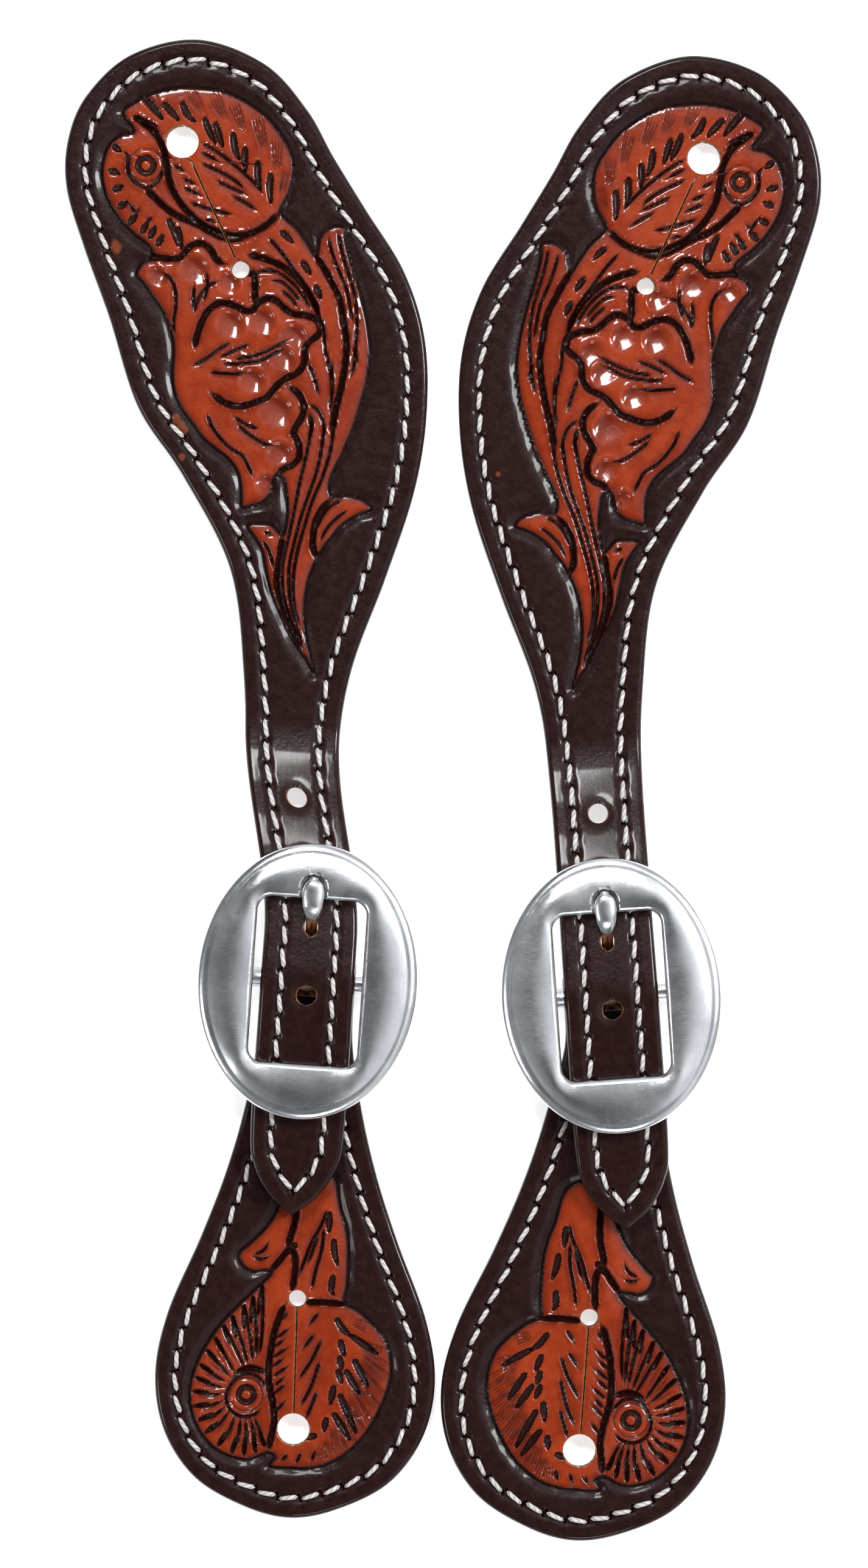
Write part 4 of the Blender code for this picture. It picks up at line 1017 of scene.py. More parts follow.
def plate_points():
    """The buckle's plate: a section carried round between the window and an oval. The section is
    the window's wall and bevel, a low crown, a rounded outer edge and the flat back."""
    angles = np.linspace(0.0, 2 * np.pi, PLATE_RAYS, endpoint=False) + 1e-4
    inner = window_line(angles)
    outer = np.column_stack([np.cos(angles), np.sin(angles)])
    outer /= np.linalg.norm(outer / PLATE_HALF, axis=1)[:, None]
    out = outer / np.linalg.norm(outer, axis=1)[:, None]
    crown = np.linspace(0.0, 1.0, 26)
    turn = np.linspace(0.0, np.pi / 2, 9)[1:]
    share = np.concatenate([np.zeros(9), crown, np.ones(13), np.linspace(1.0, 0.0, 6)[1:]])
    shift = np.concatenate([
        (0.25, 0.08, 0.0, 0.0, 0.03, 0.09, 0.34, 0.42, 0.5),
        0.62 - (0.62 + RIM_TURN) * crown, -RIM_TURN + RIM_TURN * np.sin(turn),
        (0.0, 0.0, -0.06, -0.18, -0.34), np.linspace(-0.34, 0.25, 6)[1:],
    ])
    top_edge = PLATE_TOP - 0.34
    height = np.concatenate([
        (PLATE_BACK, PLATE_BACK + 0.07, PLATE_BACK + 0.25, top_edge - 0.5, top_edge - 0.38,
         top_edge - 0.3, top_edge - 0.06, top_edge, top_edge + 0.03),
        top_edge + 0.06 + CROWN * np.sin(np.pi * (crown * 0.9 + 0.06)) - RIM_FALL * crown**3,
        top_edge - 0.16 - 0.95 * (1.0 - np.cos(turn)),
        (PLATE_BACK + 0.7, PLATE_BACK + 0.3, PLATE_BACK + 0.12, PLATE_BACK + 0.03, PLATE_BACK),
        np.full(5, PLATE_BACK),
    ])
    flat = inner + (outer - inner) * share[:, None, None] + out * shift[:, None, None]
    x, y = flat[..., 0], flat[..., 1]
    z = np.broadcast_to(height[:, None], x.shape).copy()
    end = NOTCH_END - NOTCH_HALF
    away = np.where(y > end, np.hypot(x, y - end), np.abs(x))
    dip = NOTCH_DEPTH * np.sqrt(np.maximum(1.0 - (away / (NOTCH_HALF + 0.15)) ** 2.6, 0.0))
    on_top = (z > PLATE_BACK + 0.9) & (y > 0)
    z = np.where(on_top, np.minimum(z, PLATE_TOP - 0.02 - dip), z)
    points = np.column_stack([x.ravel(), y.ravel(), z.ravel()])
    return points, tube_faces(len(share), len(angles), True)


def rounded_block(low, high, round_by=0.7, steps=5):
    """A block with rounded edges: level loops of a rounded rectangle, drawn in at the top and the
    bottom by a quarter circle, and closed by its last loops shrunk to a point."""
    low, high = np.array(low, float), np.array(high, float)
    centre, half = (low + high) / 2, (high - low) / 2
    angle = np.linspace(0.0, 2 * np.pi, 40, endpoint=False)
    quarter = np.linspace(0.0, np.pi / 2, steps)
    rise = (1.0 - np.cos(quarter)) * round_by / half[2]
    level = np.r_[-1.0, -1.0 + rise, 1.0 - rise[::-1], 1.0]
    drawn = 1.0 - (1.0 - np.sin(quarter)) * 0.25
    drawn = np.r_[0.0, drawn, drawn[::-1], 0.0][:, None]
    x = centre[0] + half[0] * rounded(np.cos(angle), 0.4) * drawn
    y = centre[1] + half[1] * rounded(np.sin(angle), 0.4) * drawn
    z = np.repeat(centre[2] + half[2] * level, len(angle))
    return np.column_stack([x.ravel(), y.ravel(), z]), tube_faces(len(level), len(angle))


def rounded(value, power):
    """A value between -1 and 1 raised to a power, with its sign kept."""
    return np.sign(value) * np.abs(value) ** power


def rod(radius, half_length, round_by=0.3, inner=None):
    """A rod, or a ring when it has an inner radius, along X round the bar's middle: a section of
    half length against radius, turned about the bar."""
    quarter = np.linspace(0.0, np.pi / 2, 5)
    end, lip = half_length - round_by * (1 - np.cos(quarter)), round_by * (1 - np.sin(quarter))
    if inner is None:
        across, away = np.r_[half_length, end], np.r_[0.0, radius - lip]
    else:
        across, away = np.r_[end[::-1], end], np.r_[inner + lip[::-1], radius - lip]
    across, away = np.r_[across, -across[::-1]], np.r_[away, away[::-1]]
    turn = np.linspace(0.0, 2 * np.pi, 48, endpoint=False)
    x = np.repeat(across, len(turn))
    y = np.outer(away, np.sin(turn))
    z = BAR_HEIGHT + np.outer(away, np.cos(turn))
    faces = tube_faces(len(across), len(turn), inner is not None)
    return np.column_stack([x, y.ravel(), z.ravel()]), faces


def prong():
    """The tongue's prong: an oval section carried along its path, closing to a round nose."""
    line = curve(TONGUE_PATH, 9)
    nose = np.linspace(0.0, 1.0, 9)[1:]
    end = line[-1] + np.outer(np.sin(nose * np.pi / 2), (0.55, -0.1, 0.0, 0.0))
    end[:, 2:] = line[-1, 2:] * np.cos(nose * np.pi / 2)[:, None]
    line = np.vstack([line[:1] * (1, 1, 0, 0), line, end])
    ahead = np.gradient(line[:, :2], axis=0)
    ahead /= np.maximum(np.linalg.norm(ahead, axis=1), 1e-9)[:, None]
    angle = np.linspace(0.0, 2 * np.pi, 32, endpoint=False)
    across, up = rounded(np.cos(angle), 0.8), rounded(np.sin(angle), 0.9)
    x = line[:, 2:3] * across
    y = line[:, :1] - ahead[:, 1:] * line[:, 3:] * up
    z = line[:, 1:2] + ahead[:, :1] * line[:, 3:] * up
    points = np.column_stack([x.ravel(), y.ravel(), z.ravel()])
    return points, tube_faces(len(line), len(angle))


def joined(parts):
    """Several closed surfaces as one set of points and faces."""
    points, faces = zip(*parts)
    firsts = np.cumsum([0] + [len(group) for group in points])
    return np.vstack(points), np.vstack([group + n for n, group in zip(firsts, faces)])


def outward(part):
    """A closed surface with its faces turned to look outwards."""
    points, faces = part
    a, b, c = (points[faces[:, k]] - points.mean(0) for k in (0, 1, 2))
    d = points[faces[:, 3]] - points.mean(0)
    volume = (np.cross(b - a, c - a) * a).sum() + (np.cross(c - a, d - a) * a).sum()
    return points, faces[:, ::-1] if volume < 0 else faces


class Value:
    """A socket of a material, so that sums with it are written as sums."""

    def __init__(self, finish, socket):
        self.finish, self.socket = finish, socket

    def _sum(self, operation, first, second):
        return self.finish.node("ShaderNodeMath", {"operation": operation}, first, second)

    def __add__(self, other):
        return self._sum("ADD", self, other)

    def __sub__(self, other):
        return self._sum("SUBTRACT", self, other)

    def __rsub__(self, other):
        return self._sum("SUBTRACT", other, self)

    def __mul__(self, other):
        return self._sum("MULTIPLY", self, other)

    __radd__, __rmul__ = __add__, __mul__


class Finish:
    """A material and its nodes."""

    def __init__(self, name, colour=(0.5, 0.5, 0.5, 1.0), **constants):
        self.material = bpy.data.materials.new(name)
        self.material.use_nodes = True
        self.tree = self.material.node_tree
        self.shader = self.tree.nodes["Principled BSDF"]
        self.material.diffuse_color = colour
        for label, value in constants.items():
            label = label.replace("_", " ").title().replace("Ior", "IOR")
            self.shader.inputs[label].default_value = value

    def node(self, kind, settings=None, *inputs, output=0, **named):
        """Adds a node: its settings first, then its sockets by place or by name."""
        made = self.tree.nodes.new(kind)
        for label, value in (settings or {}).items():
            setattr(made, label, value)
        for key, value in [*enumerate(inputs), *named.items()]:
            socket = made.inputs[key if isinstance(key, int) else key.replace("_", " ")]
            if isinstance(value, Value):
                self.tree.links.new(value.socket, socket)
            elif value is not None:
                socket.default_value = value
        return Value(self, made.outputs[output])

    def mix(self, factor, first, second, blend="MIX"):
        """A colour between two colours."""
        made = self.tree.nodes.new("ShaderNodeMix")
        made.data_type, made.blend_type = "RGBA", blend
        for index, value in ((0, factor), (6, first), (7, second)):
            if isinstance(value, Value):
                self.tree.links.new(value.socket, made.inputs[index])
            else:
                made.inputs[index].default_value = value
        return Value(self, made.outputs[2])

    def attribute(self, name):
        """A value kept at each point of the mesh."""
        return self.node("ShaderNodeAttribute", {"attribute_name": name}, output=2)

    def ramp(self, value, low, high, to_low=0.0, to_high=1.0, way="SMOOTHSTEP"):
        """A value mapped smoothly from one range to another and held at its ends."""
        return self.node("ShaderNodeMapRange", {"interpolation_type": way}, value, low, high,
                         to_low, to_high)

    def place(self):
        """The object's own coordinates."""
        return self.node("ShaderNodeTexCoord", output=3)

    def noise(self, scale, detail=3.0, roughness=0.55, at=None):
        """Noise on the object's own coordinates, with its scale in waves to the metre."""
        return self.node("ShaderNodeTexNoise", None, at or self.place(), Scale=scale,
                         Detail=detail, Roughness=roughness)

    def bump(self, height, distance):
        """A normal tilted by a height that is worth a distance in metres."""
        return self.node("ShaderNodeBump", None, Strength=1.0, Distance=distance, Height=height)

    def feed(self, **sockets):
        """Links values to the shader's sockets."""
        for label, value in sockets.items():
            self.tree.links.new(value.socket, self.shader.inputs[label.replace("_", " ")])


# How deep the finest relief of each finish is, in metres
LEATHER_GRAIN = 0.00006
LINING_GRAIN = 0.00008
THREAD_LAY = 0.00008
STEEL_RIPPLE = 0.0006


def tooled_leather(colours):
    """Dyed and glazed tooling leather: russet in the motif with painted shade in its hollows, near
    black round it, dark paste in the cuts, a fine grain and a glossy top coat."""
    skin = Finish("tooled_leather", colours.ground, coat_roughness=0.075, coat_ior=1.48,
                  specular_ior_level=0.09)
    dye, residue, painted_shade, worn, raw, burnish = (
        skin.attribute(name) for name in ("dye", "residue", "painted_shade", "worn", "raw", "burnish"))
    cloud, patch, mottle = skin.noise(70.0, 4.0), skin.noise(190.0), skin.noise(520.0, 4.0, 0.65)
    grain = skin.noise(2600.0, 3.0, 0.6)
    pores = skin.node("ShaderNodeTexVoronoi", {"feature": "SMOOTH_F1"}, skin.place(), Scale=1500.0,
                      Smoothness=0.6)
    motif = skin.ramp(dye + (mottle - 0.5) * 0.25, -0.07, 0.07)
    tint = skin.ramp(cloud * 0.45 + patch * 0.3 + mottle * 0.25, 0.38, 0.6)
    russet = skin.mix(tint, tuple(colours.russet_deep), tuple(colours.russet))
    # Painted shade: the russet darkens in the thumbprints and round the cuts.
    russet = skin.mix(painted_shade * 0.92, russet, tuple(colours.russet_shaded))
    # Painted shade: the russet darkens towards the motif's edges.
    russet = skin.mix(skin.ramp(dye, 0.1, 1.7, 0.6, 0.0), russet, tuple(colours.russet_shaded))
    warmth = skin.ramp(mottle, 0.3, 0.7)
    ground = skin.mix(warmth, tuple(colours.ground), tuple(colours.ground_warm))
    base = skin.mix(motif, ground, russet)
    paste = skin.ramp(residue + (mottle - 0.5) * 0.5, 0.12, 0.72)
    base = skin.mix(paste * 0.96, base, tuple(colours.paste))
    scuff = skin.ramp(skin.noise(55.0, 5.0, 0.7), 0.7, 0.78) * skin.ramp(mottle, 0.42, 0.6)
    base = skin.mix(scuff * 0.4, base, tuple(colours.scuff))
    rubbed = skin.ramp(worn + (mottle - 0.5) * 0.8, 0.3, 0.95)
    base = skin.mix(rubbed * 0.8, base, tuple(colours.worn))
    fibre = skin.noise(1800.0, 2.0, 0.6)
    tan = skin.mix(skin.ramp(fibre, 0.3, 0.7), tuple(colours.raw_deep), tuple(colours.raw))
    base = skin.mix(skin.ramp(raw + (mottle - 0.5) * 0.4, 0.35, 0.75), base, tan)
    gloss = skin.ramp(mottle, 0.3, 0.7, 0.23, 0.36)
    gloss = gloss + paste * 0.12 + raw * 0.3 - burnish * 0.06
    coat = skin.ramp(cloud, 0.3, 0.7, 0.1, 0.26) + motif * 0.34
    coat = coat * (1 - raw) * (1 - paste * 0.8) + burnish * 0.25
    relief = grain * 0.45 + pores * 0.5 + mottle * 0.8
    skin.feed(Base_Color=base, Roughness=gloss, Coat_Weight=coat,
              Normal=skin.bump(relief, LEATHER_GRAIN))
    return skin.material


def lining_leather(colours):
    """The back layer: smooth dyed leather with a dull, slightly worn face."""
    skin = Finish("lining_leather", colours.lining, specular_ior_level=0.35)
    cloud, fibre = skin.noise(90.0, 5.0), skin.noise(2200.0, 4.0, 0.7)
    warmth = skin.ramp(cloud * 0.7 + fibre * 0.3, 0.35, 0.65)
    base = skin.mix(warmth, tuple(colours.lining), tuple(colours.ground_warm))
    base = skin.mix(skin.attribute("raw"), base, tuple(colours.raw_deep))
    skin.feed(Base_Color=base, Roughness=skin.ramp(fibre, 0.3, 0.7, 0.5, 0.68),
              Normal=skin.bump(fibre * 0.7 + cloud * 0.6, LINING_GRAIN))
    return skin.material


def waxed_thread(colours):
    """Two-ply waxed thread: the plies wind round the stitch as stripes of u and v together."""
    cord = Finish("waxed_thread", colours.thread, specular_ior_level=0.5, coat_weight=0.12,
                  coat_roughness=0.3)
    lay = cord.node("ShaderNodeUVMap", {"uv_map": "lay"})
    u, v = (cord.node("ShaderNodeSeparateXYZ", None, lay, output=k) for k in (0, 1))
    turns = (u * 2.6 + v * 2.0) * (2 * math.pi)
    wind = cord.node("ShaderNodeMath", {"operation": "SINE"}, turns)
    groove = cord.ramp(wind, -1.0, -0.25, 0.0, 1.0)
    fibre = cord.noise(5200.0, 3.0, 0.6)
    soil = cord.ramp(cord.noise(260.0, 3.0), 0.45, 0.75)
    # Painted shade: the grooves between the plies are darkened.
    base = cord.mix(groove, tuple(colours.thread_soil_and_shade), tuple(colours.thread))
    base = cord.mix(soil * 0.45, base, tuple(colours.thread_soil_and_shade))
    cord.feed(Base_Color=base, Roughness=cord.ramp(fibre, 0.3, 0.7, 0.38, 0.6),
              Normal=cord.bump(groove * 0.9 + fibre * 0.3, THREAD_LAY))
    return cord.material


def stainless_steel(colours):
    """Stainless steel polished by hand: fine streaks, faint smears and a soft ripple."""
    metal = Finish("stainless_steel", colours.steel, metallic=1.0)
    place = metal.place()
    streak_place = metal.node("ShaderNodeMapping", None, place, Scale=(1.0, 14.0, 1.0))
    streaks = metal.noise(900.0, 4.0, 0.7, streak_place)
    smear = metal.noise(60.0, 5.0, 0.65)
    ripple = metal.noise(38.0, 2.0, 0.5)
    bright = metal.ramp(smear, 0.35, 0.7)
    base = metal.mix(bright, tuple(colours.steel), tuple(colours.steel_bright))
    polish = metal.ramp(smear * 0.5 + streaks * 0.5, 0.35, 0.65, 0.16, 0.27)
    metal.feed(Base_Color=base, Roughness=polish,
               Normal=metal.bump(ripple + streaks * 0.02, STEEL_RIPPLE))
    return metal.material


def painted_floor():
    """A plain pale floor that gives off some light, so that no shadow on it is grey."""
    white = (0.93, 0.93, 0.93, 1.0)
    return Finish("studio_floor", white, base_color=white, roughness=0.9, specular_ior_level=0.0,
                  emission_color=(1.0, 1.0, 1.0, 1.0), emission_strength=0.62).material


def colour(name, description, value):
    """A colour that the panel shows."""
    return bpy.props.FloatVectorProperty(
        name=name, description=description, subtype="COLOR", size=4, min=0.0, max=1.0,
        default=(*value, 1.0))


class StrapColours(bpy.types.PropertyGroup):
    russet: colour("Russet", "Dye of the raised motif", (0.27, 0.032, 0.0068))
    russet_deep: colour("Deep russet", "Darker clouds in the motif", (0.185, 0.0185, 0.0042))
    # Painted shade: the russet's colour in hollows, round cuts and towards the motif's edges.
    russet_shaded: colour(
        "Stained russet", "Dye pooled in thumbprints and along edges", (0.078, 0.0062, 0.0022))
    ground: colour("Ground", "Dye of the leather round the motif", (0.0125, 0.0042, 0.0041))
    ground_warm: colour("Warm ground", "Redder clouds in the ground", (0.018, 0.0062, 0.0057))
    paste: colour("Paste", "Antique paste left in the cuts", (0.0065, 0.0017, 0.0014))
    scuff: colour("Scuff", "Leather where the dye is worn", (0.05, 0.016, 0.011))
    worn: colour(
        "Worn dye", "Leather showing through where the ground is rubbed", (0.16, 0.04, 0.014))
    raw: colour("Raw leather", "Undyed leather in the holes", (0.38, 0.155, 0.06))
    raw_deep: colour("Dark raw leather", "Fibres in the undyed leather", (0.16, 0.05, 0.018))
    lining: colour("Lining", "Dye of the back layer", (0.02, 0.009, 0.007))
    thread: colour("Thread", "Waxed thread", (0.55, 0.535, 0.52))
    # Painted shade between the plies; the rest of this colour is soil where dye rubbed off.
    thread_soil_and_shade: colour(
        "Soiled thread", "Between the plies and where dye rubbed off", (0.36, 0.32, 0.29))
    steel: colour("Steel", "Polished steel", (0.62, 0.63, 0.65))
    steel_bright: colour("Bright steel", "Steel rubbed brighter", (0.78, 0.79, 0.81))


class StrapSizes(bpy.types.PropertyGroup):
    thread_width: bpy.props.FloatProperty(
        name="Thread width", description="Thickness of the waxed thread", unit="LENGTH",
        default=0.00078, min=0.0004, max=0.0012)
    stitch_slant: bpy.props.FloatProperty(
        name="Stitch slant", description="How far each stitch turns off its seam", subtype="ANGLE",
        default=math.radians(9.0), min=0.0, max=math.radians(25.0))
    carving_step: bpy.props.FloatProperty(
        name="Carving step", description="Distance between the carved leather's rows",
        unit="LENGTH", default=0.00027, min=0.0002, max=0.001)
    light: bpy.props.FloatProperty(
        name="Light", description="Brightness of the studio's soft lights", default=1.0, min=0.1,
        max=5.0)


FINISHES = {
    "tooled_leather": tooled_leather,
    "lining_leather": lining_leather,
    "waxed_thread": waxed_thread,
    "stainless_steel": stainless_steel,
}


MADE = {}


def material(slot):
    """The finish of one material slot, made once."""
    if slot not in MADE:
        MADE[slot] = FINISHES[slot](bpy.context.scene.strap_colours)
    return MADE[slot]


def settle(obj, body, slot, *nodes):
    """Puts a finished piece on its body, in the place of the frame's nodes."""
    if not len(obj.data.polygons):
        raise RuntimeError(obj.name + " has no faces")
    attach(obj, body)
    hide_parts(*nodes)


def places(holes):
    """Where holes lie along a strap, and their radii."""
    return [hole[1:] for hole in holes]


def tongue_oval():
    """The tongue's hole: its two ends along the strap, its half width and its power."""
    middle, half_length, half_width = TONGUE_HOLE
    return middle - half_length, middle + half_length, half_width, 2


def face_back(rows):
    """The thickness of the long strap's face."""
    return np.full(len(rows), FACE_DEPTH)


def heel_back(rows):
    """The thickness of the heel strap's face, which is pared down towards its fold."""
    thin = FOLD - WALL_CLEARANCE
    return thin + (FACE_DEPTH - thin) * smooth(SKIVE_FROM, SKIVE_TO, rows)


def lining_back(rows):
    """The thickness of a lining."""
    return np.full(len(rows), LINING_DEPTH)


class StrapOperator:
    bl_options = {"REGISTER", "UNDO"}

    def execute(self, context):
        for side in SIDES:
            self.make(Strap(side), context.scene.strap_sizes)
        return {"FINISHED"}


class STRAPS_OT_long(StrapOperator, bpy.types.Operator):
    """Make the carved wing straps and their billets"""
    bl_idname = "straps.long_straps"
    bl_label = "Wing straps"

    def make(self, strap, sizes):
        step = sizes.carving_step / MM * WING_STEPS
        rows = row_places(WING_FROM, LONG_ENDS[1], step, places(WING_HOLES), round_high=True)
        opening = opening_sides(rows, WING_MIDDLE, WING_HOLES, WING_HOLES)
        wing = leather_layer(
            strap.side + "_wing_leather", rows, LONG_EDGES, opening, WING_COLUMNS,
            lambda at: worked_wing(at, SCUFFS[strap.side]), strap.long_place, face_back,
            material("tooled_leather"), (True, False))
        holes = places(BILLET_HOLES) + [TONGUE_HOLE[:2]]
        rows = row_places(LONG_ENDS[0], WING_FROM, 0.5, holes)
        opening = opening_sides(rows, WING_MIDDLE, BILLET_HOLES, None, tongue_oval())
        billet = leather_layer(
            strap.side + "_billet_leather", rows, LONG_EDGES, opening, BILLET_COLUMNS,
            worked_billet, strap.long_place, face_back, material("tooled_leather"), (False, True))
        for piece in (wing, billet):
            settle(piece, strap.side + "_strap", "tooled_leather", strap.side + "_long_face")


class STRAPS_OT_short(StrapOperator, bpy.types.Operator):
    """Make the carved heel straps that fold round the bars"""
    bl_idname = "straps.heel_straps"
    bl_label = "Heel straps"

    def make(self, strap, sizes):
        start, end, _ = SLOT
        carved = row_places(SHORT_ENDS[0], HEEL_CARVED_TO, sizes.carving_step / MM,
                            places(HEEL_HOLES), round_low=True)
        plain = row_places(HEEL_CARVED_TO, SHORT_ENDS[1], 0.45,
                           [((start + end) / 2, (end - start) / 2)])
        rows = np.unique(np.r_[carved, plain])
        opening = opening_sides(rows, HEEL_MIDDLE, HEEL_HOLES, HEEL_HOLES, (*SLOT, 6))
        heel = leather_layer(
            strap.side + "_heel_leather", rows, SHORT_EDGES, opening, HEEL_COLUMNS, worked_heel,
            strap.short_place, heel_back, material("tooled_leather"))
        settle(heel, strap.side + "_heel_strap", "tooled_leather", strap.side + "_short_face")


class STRAPS_OT_linings(StrapOperator, bpy.types.Operator):
    """Make the back layers of both straps"""
    bl_idname = "straps.linings"
    bl_label = "Linings"

    def make(self, strap, sizes):
        side, leather = strap.side, material("lining_leather")
        holes = WING_HOLES + BILLET_HOLES
        rows = row_places(*LONG_ENDS, 1.0, places(holes) + [TONGUE_HOLE[:2]], round_high=True)
        opening = opening_sides(rows, WING_MIDDLE, holes, None, tongue_oval())
        lining = leather_layer(
            side + "_long_back", rows, LONG_EDGES, opening, LINING_COLUMNS, worked_back_long,
            strap.long_lining_place, lining_back, leather)
        settle(lining, side + "_strap", "lining_leather", side + "_long_lining")
        rows = row_places(SHORT_ENDS[0], LINING_START, 1.0, places(HEEL_HOLES), round_low=True)
        opening = opening_sides(rows, HEEL_MIDDLE, HEEL_HOLES, None)
        lining = leather_layer(
            side + "_heel_back", rows, SHORT_EDGES, opening, LINING_COLUMNS, worked_back_short,
            strap.short_lining_place, lining_back, leather, (False, True))
        settle(lining, side + "_heel_strap", "lining_leather", side + "_short_lining")


class STRAPS_OT_stitches(StrapOperator, bpy.types.Operator):
    """Sew the straps, with slanted stitches in front and straight ones behind"""
    bl_idname = "straps.stitches"
    bl_label = "Stitches"

    def make(self, strap, sizes):
        radius, slant = sizes.thread_width / MM / 2, math.degrees(sizes.stitch_slant)
        thread = material("waxed_thread")
        bound = SHORT_SEAM[SHORT_SEAM[:, 1] < LINING_START - LINING_SEAM_MARGIN]
        for piece, node, body, path, pitch, behind, front, back in (
            ("wing", "long", "_strap", LONG_SEAM, LONG_PITCH, LONG_SEAM,
             strap.long_place, strap.long_lining_place),
            ("heel", "short", "_heel_strap", SHORT_SEAM, SHORT_PITCH, bound,
             strap.short_place, strap.short_lining_place),
        ):
            sewn = stitches(f"{strap.side}_{piece}_stitches", path, pitch, front, radius,
                            FRONT_RISE, slant, FRONT_SINK, thread)
            settle(sewn, strap.side + body, "waxed_thread", f"{strap.side}_{node}_needle_thread")
            under = stitches(f"{strap.side}_{piece}_back_stitches", behind,
                             even_pitch(behind, pitch), back, radius * BACK_THREAD, BACK_RISE, 0.0,
                             BACK_SINK, thread)
            settle(under, strap.side + body, "waxed_thread", f"{strap.side}_{node}_bobbin_thread")


class STRAPS_OT_buckles(StrapOperator, bpy.types.Operator):
    """Make the steel cart buckles and their tongues"""
    bl_idname = "straps.buckles"
    bl_label = "Buckles"

    def make(self, strap, sizes):
        lug_far = LUG_INNER + LUG_WIDTH
        parts = [plate_points(), rod(BAR_RADIUS, LUG_INNER + LUG_WIDTH / 2)]
        for near, far in ((-lug_far, -LUG_INNER), (LUG_INNER, lug_far)):
            low, high = (near, -LUG_DEPTH / 2, LUG_LOW), (far, LUG_DEPTH / 2, LUG_HIGH)
            parts.append(rounded_block(low, high))
        tongue = prong(), rod(EYE_OUTER, EYE_WIDTH / 2, 0.4, EYE_INNER)
        for piece, shapes, body, node in (
            ("_cart_buckle", parts, "_strap", "_buckle_frame"),
            ("_prong", tongue, "_tongue", "_buckle_tongue"),
        ):
            points, faces = joined([outward(shape) for shape in shapes])
            steel = mesh_object(strap.side + piece, strap.lay(points), faces,
                                material("stainless_steel"))
            settle(steel, strap.side + body, "stainless_steel", strap.side + node)


# The walls round the table: how bright they are from the left, at 0, to the right, at 1
BACKDROP = (
    (0.0, 0.5), (1.0, 1.5), (0.14, 0.2), (0.3, 0.1), (0.4, 0.19), (0.5, 0.9), (0.62, 2.1),
)
BACKDROP_HEADING = (0.93, 0.36, 0.0)
BACKDROP_FROM, BACKDROP_TO = -0.35, 0.55
BACKDROP_TINT = (0.94, 0.97, 1.0)
BACKDROP_STRENGTH = 0.5
LIGHTS = (
    ("window_light", (0.85, 0.3, 1.05), 0.32, 15.0, (0.96, 0.98, 1.0)),
    ("fill_light", (-0.95, -0.35, 0.9), 0.3, 3.6, (1.0, 0.98, 0.96)),
    ("back_light", (-0.12, 0.66, 1.2), 0.24, 9.0, (1.0, 1.0, 1.0)),
    ("front_light", (0.15, -1.1, 0.9), 0.4, 3.0, (1.0, 1.0, 1.0)),
)
FLOOR_HALF = 2.5
VIEW_CENTRE = (-0.00167, 0.00108)
VIEW_HEIGHT = 0.2862
CAMERA_HEIGHT = 1.6
SENSOR = 36.0


def lay_floor(scene):
    """The floor, level with the frame's lowest point."""
    low, half = CAD_BOX[0].z, FLOOR_HALF
    corners = [(-half, -half, low), (half, -half, low), (half, half, low), (-half, half, low)]
    mesh = bpy.data.meshes.new("studio_floor")
    mesh.from_pydata(corners, [], [(0, 1, 2, 3)])
    mesh.materials.append(painted_floor())
    floor = bpy.data.objects.new("studio_floor", mesh)
    scene.collection.objects.link(floor)


def hang_lights(scene):
    """Soft square lights that face the middle of the floor."""
    for name, place, size, watts, tint in LIGHTS:
        light = bpy.data.lights.new(name, "AREA")
        light.size, light.energy, light.color = size, watts * scene.strap_sizes.light, tint
        lamp = bpy.data.objects.new(name, light)
        lamp.location = place
        lamp.rotation_euler = Vector(place).to_track_quat("Z", "Y").to_euler()
        scene.collection.objects.link(lamp)


def paint_backdrop(scene):
    """The room round the straps, dark on one side and bright on the other for the steel."""
    world = bpy.data.worlds.new("studio_world")
    world.use_nodes = True
    nodes, links = world.node_tree.nodes, world.node_tree.links
    heading = nodes.new("ShaderNodeVectorMath")
    heading.operation = "DOT_PRODUCT"
    heading.inputs[1].default_value = BACKDROP_HEADING
    links.new(nodes.new("ShaderNodeTexCoord").outputs["Generated"], heading.inputs[0])
    shift = nodes.new("ShaderNodeMapRange")
    shift.inputs[1].default_value, shift.inputs[2].default_value = BACKDROP_FROM, BACKDROP_TO
    links.new(heading.outputs["Value"], shift.inputs[0])
    wall = nodes.new("ShaderNodeValToRGB")
    links.new(shift.outputs[0], wall.inputs[0])
    stops = wall.color_ramp.elements
    made = [stops[0], stops[1]] + [stops.new(position) for position, _ in BACKDROP[2:]]
    for (position, shade), stop in zip(BACKDROP, made):
        stop.position = position
        stop.color = (*(shade * tint for tint in BACKDROP_TINT), 1.0)
    backdrop = nodes["Background"]
    links.new(wall.outputs[0], backdrop.inputs["Color"])
    backdrop.inputs["Strength"].default_value = BACKDROP_STRENGTH
    scene.world = world


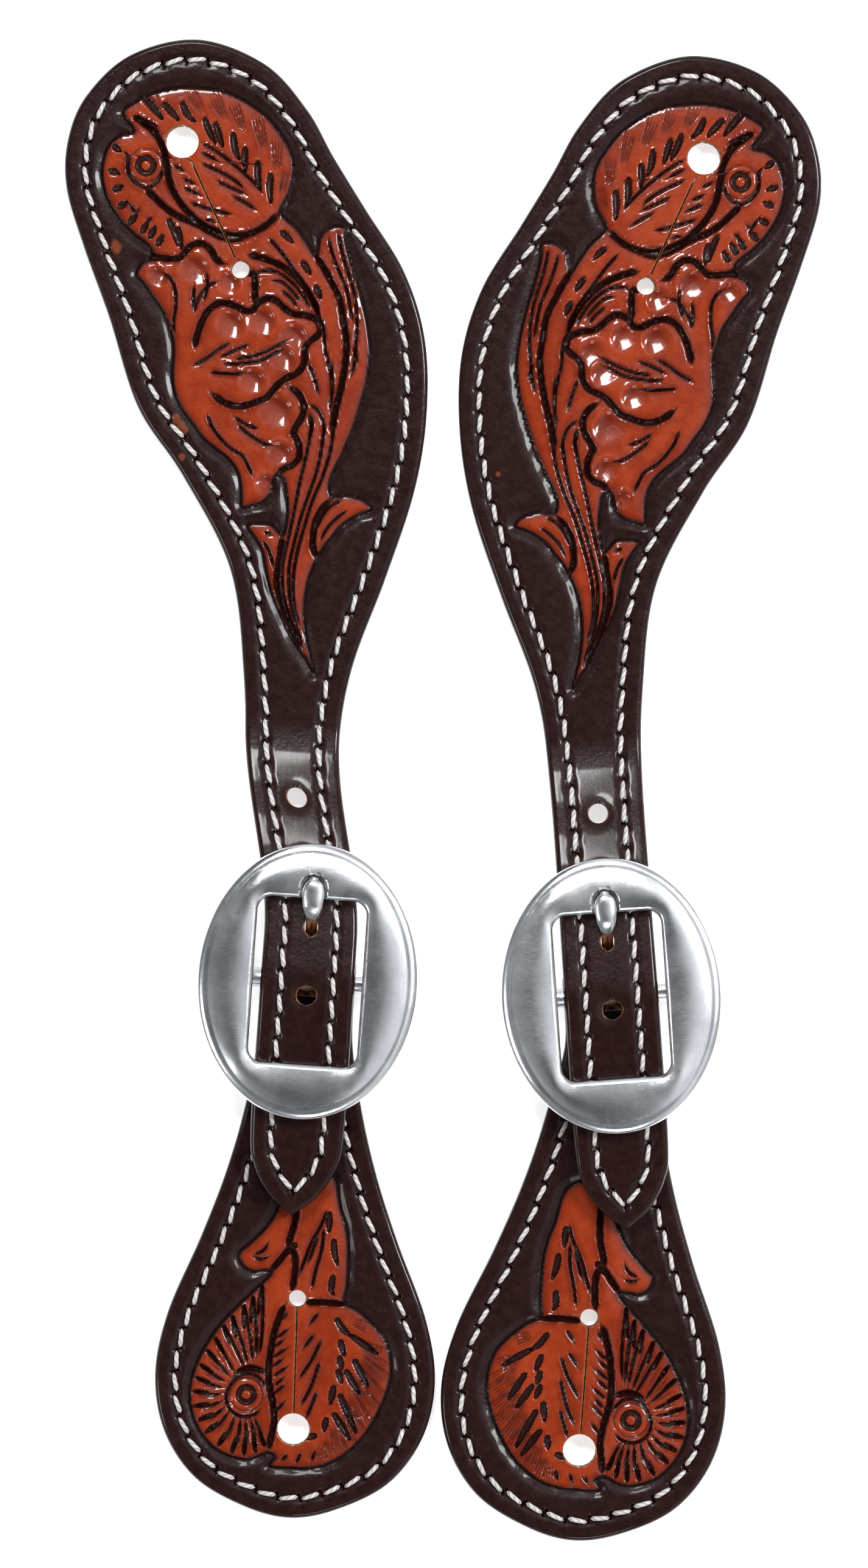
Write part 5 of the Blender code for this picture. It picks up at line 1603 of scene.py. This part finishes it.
def place_camera(scene):
    """A camera straight above, whose lens takes in the view's height."""
    lens = bpy.data.cameras.new("camera")
    lens.sensor_width = SENSOR
    lens.lens = SENSOR * CAMERA_HEIGHT / VIEW_HEIGHT
    lens.clip_start, lens.clip_end = 0.05, 20.0
    camera = bpy.data.objects.new("camera", lens)
    camera.location = (*VIEW_CENTRE, CAMERA_HEIGHT)
    scene.collection.objects.link(camera)
    scene.camera = camera
    scene.view_settings.view_transform = "Standard"


class STRAPS_OT_studio(bpy.types.Operator):
    """Make the floor, the soft lights and the camera"""
    bl_idname = "straps.studio"
    bl_label = "Studio"

    def execute(self, context):
        for make in (lay_floor, hang_lights, paint_backdrop, place_camera):
            make(context.scene)
        return {"FINISHED"}


OPERATORS = (STRAPS_OT_long, STRAPS_OT_short, STRAPS_OT_linings, STRAPS_OT_stitches,
             STRAPS_OT_buckles, STRAPS_OT_studio)


class STRAPS_PT_panel(bpy.types.Panel):
    """Lists the straps' pieces, sizes and colours"""
    bl_idname = "STRAPS_PT_panel"
    bl_label = "Carved Spur Straps"
    bl_space_type = "VIEW_3D"
    bl_region_type = "UI"
    bl_category = "Straps"

    def draw(self, context):
        for operator in OPERATORS:
            self.layout.operator(operator.bl_idname)
        for group in (context.scene.strap_sizes, context.scene.strap_colours):
            for name in group.__annotations__:
                self.layout.prop(group, name)


CLASSES = (StrapColours, StrapSizes, *OPERATORS, STRAPS_PT_panel)


def register():
    for cls in CLASSES:
        bpy.utils.register_class(cls)
    bpy.types.Scene.strap_colours = bpy.props.PointerProperty(type=StrapColours)
    bpy.types.Scene.strap_sizes = bpy.props.PointerProperty(type=StrapSizes)


def unregister():
    del bpy.types.Scene.strap_colours, bpy.types.Scene.strap_sizes
    for cls in reversed(CLASSES):
        bpy.utils.unregister_class(cls)


def main():
    """Makes every piece through its operator."""
    register()
    bpy.ops.straps.long_straps()
    bpy.ops.straps.heel_straps()
    bpy.ops.straps.linings()
    bpy.ops.straps.stitches()
    bpy.ops.straps.buckles()
    bpy.ops.straps.studio()


if __name__ == "__main__":
    main()
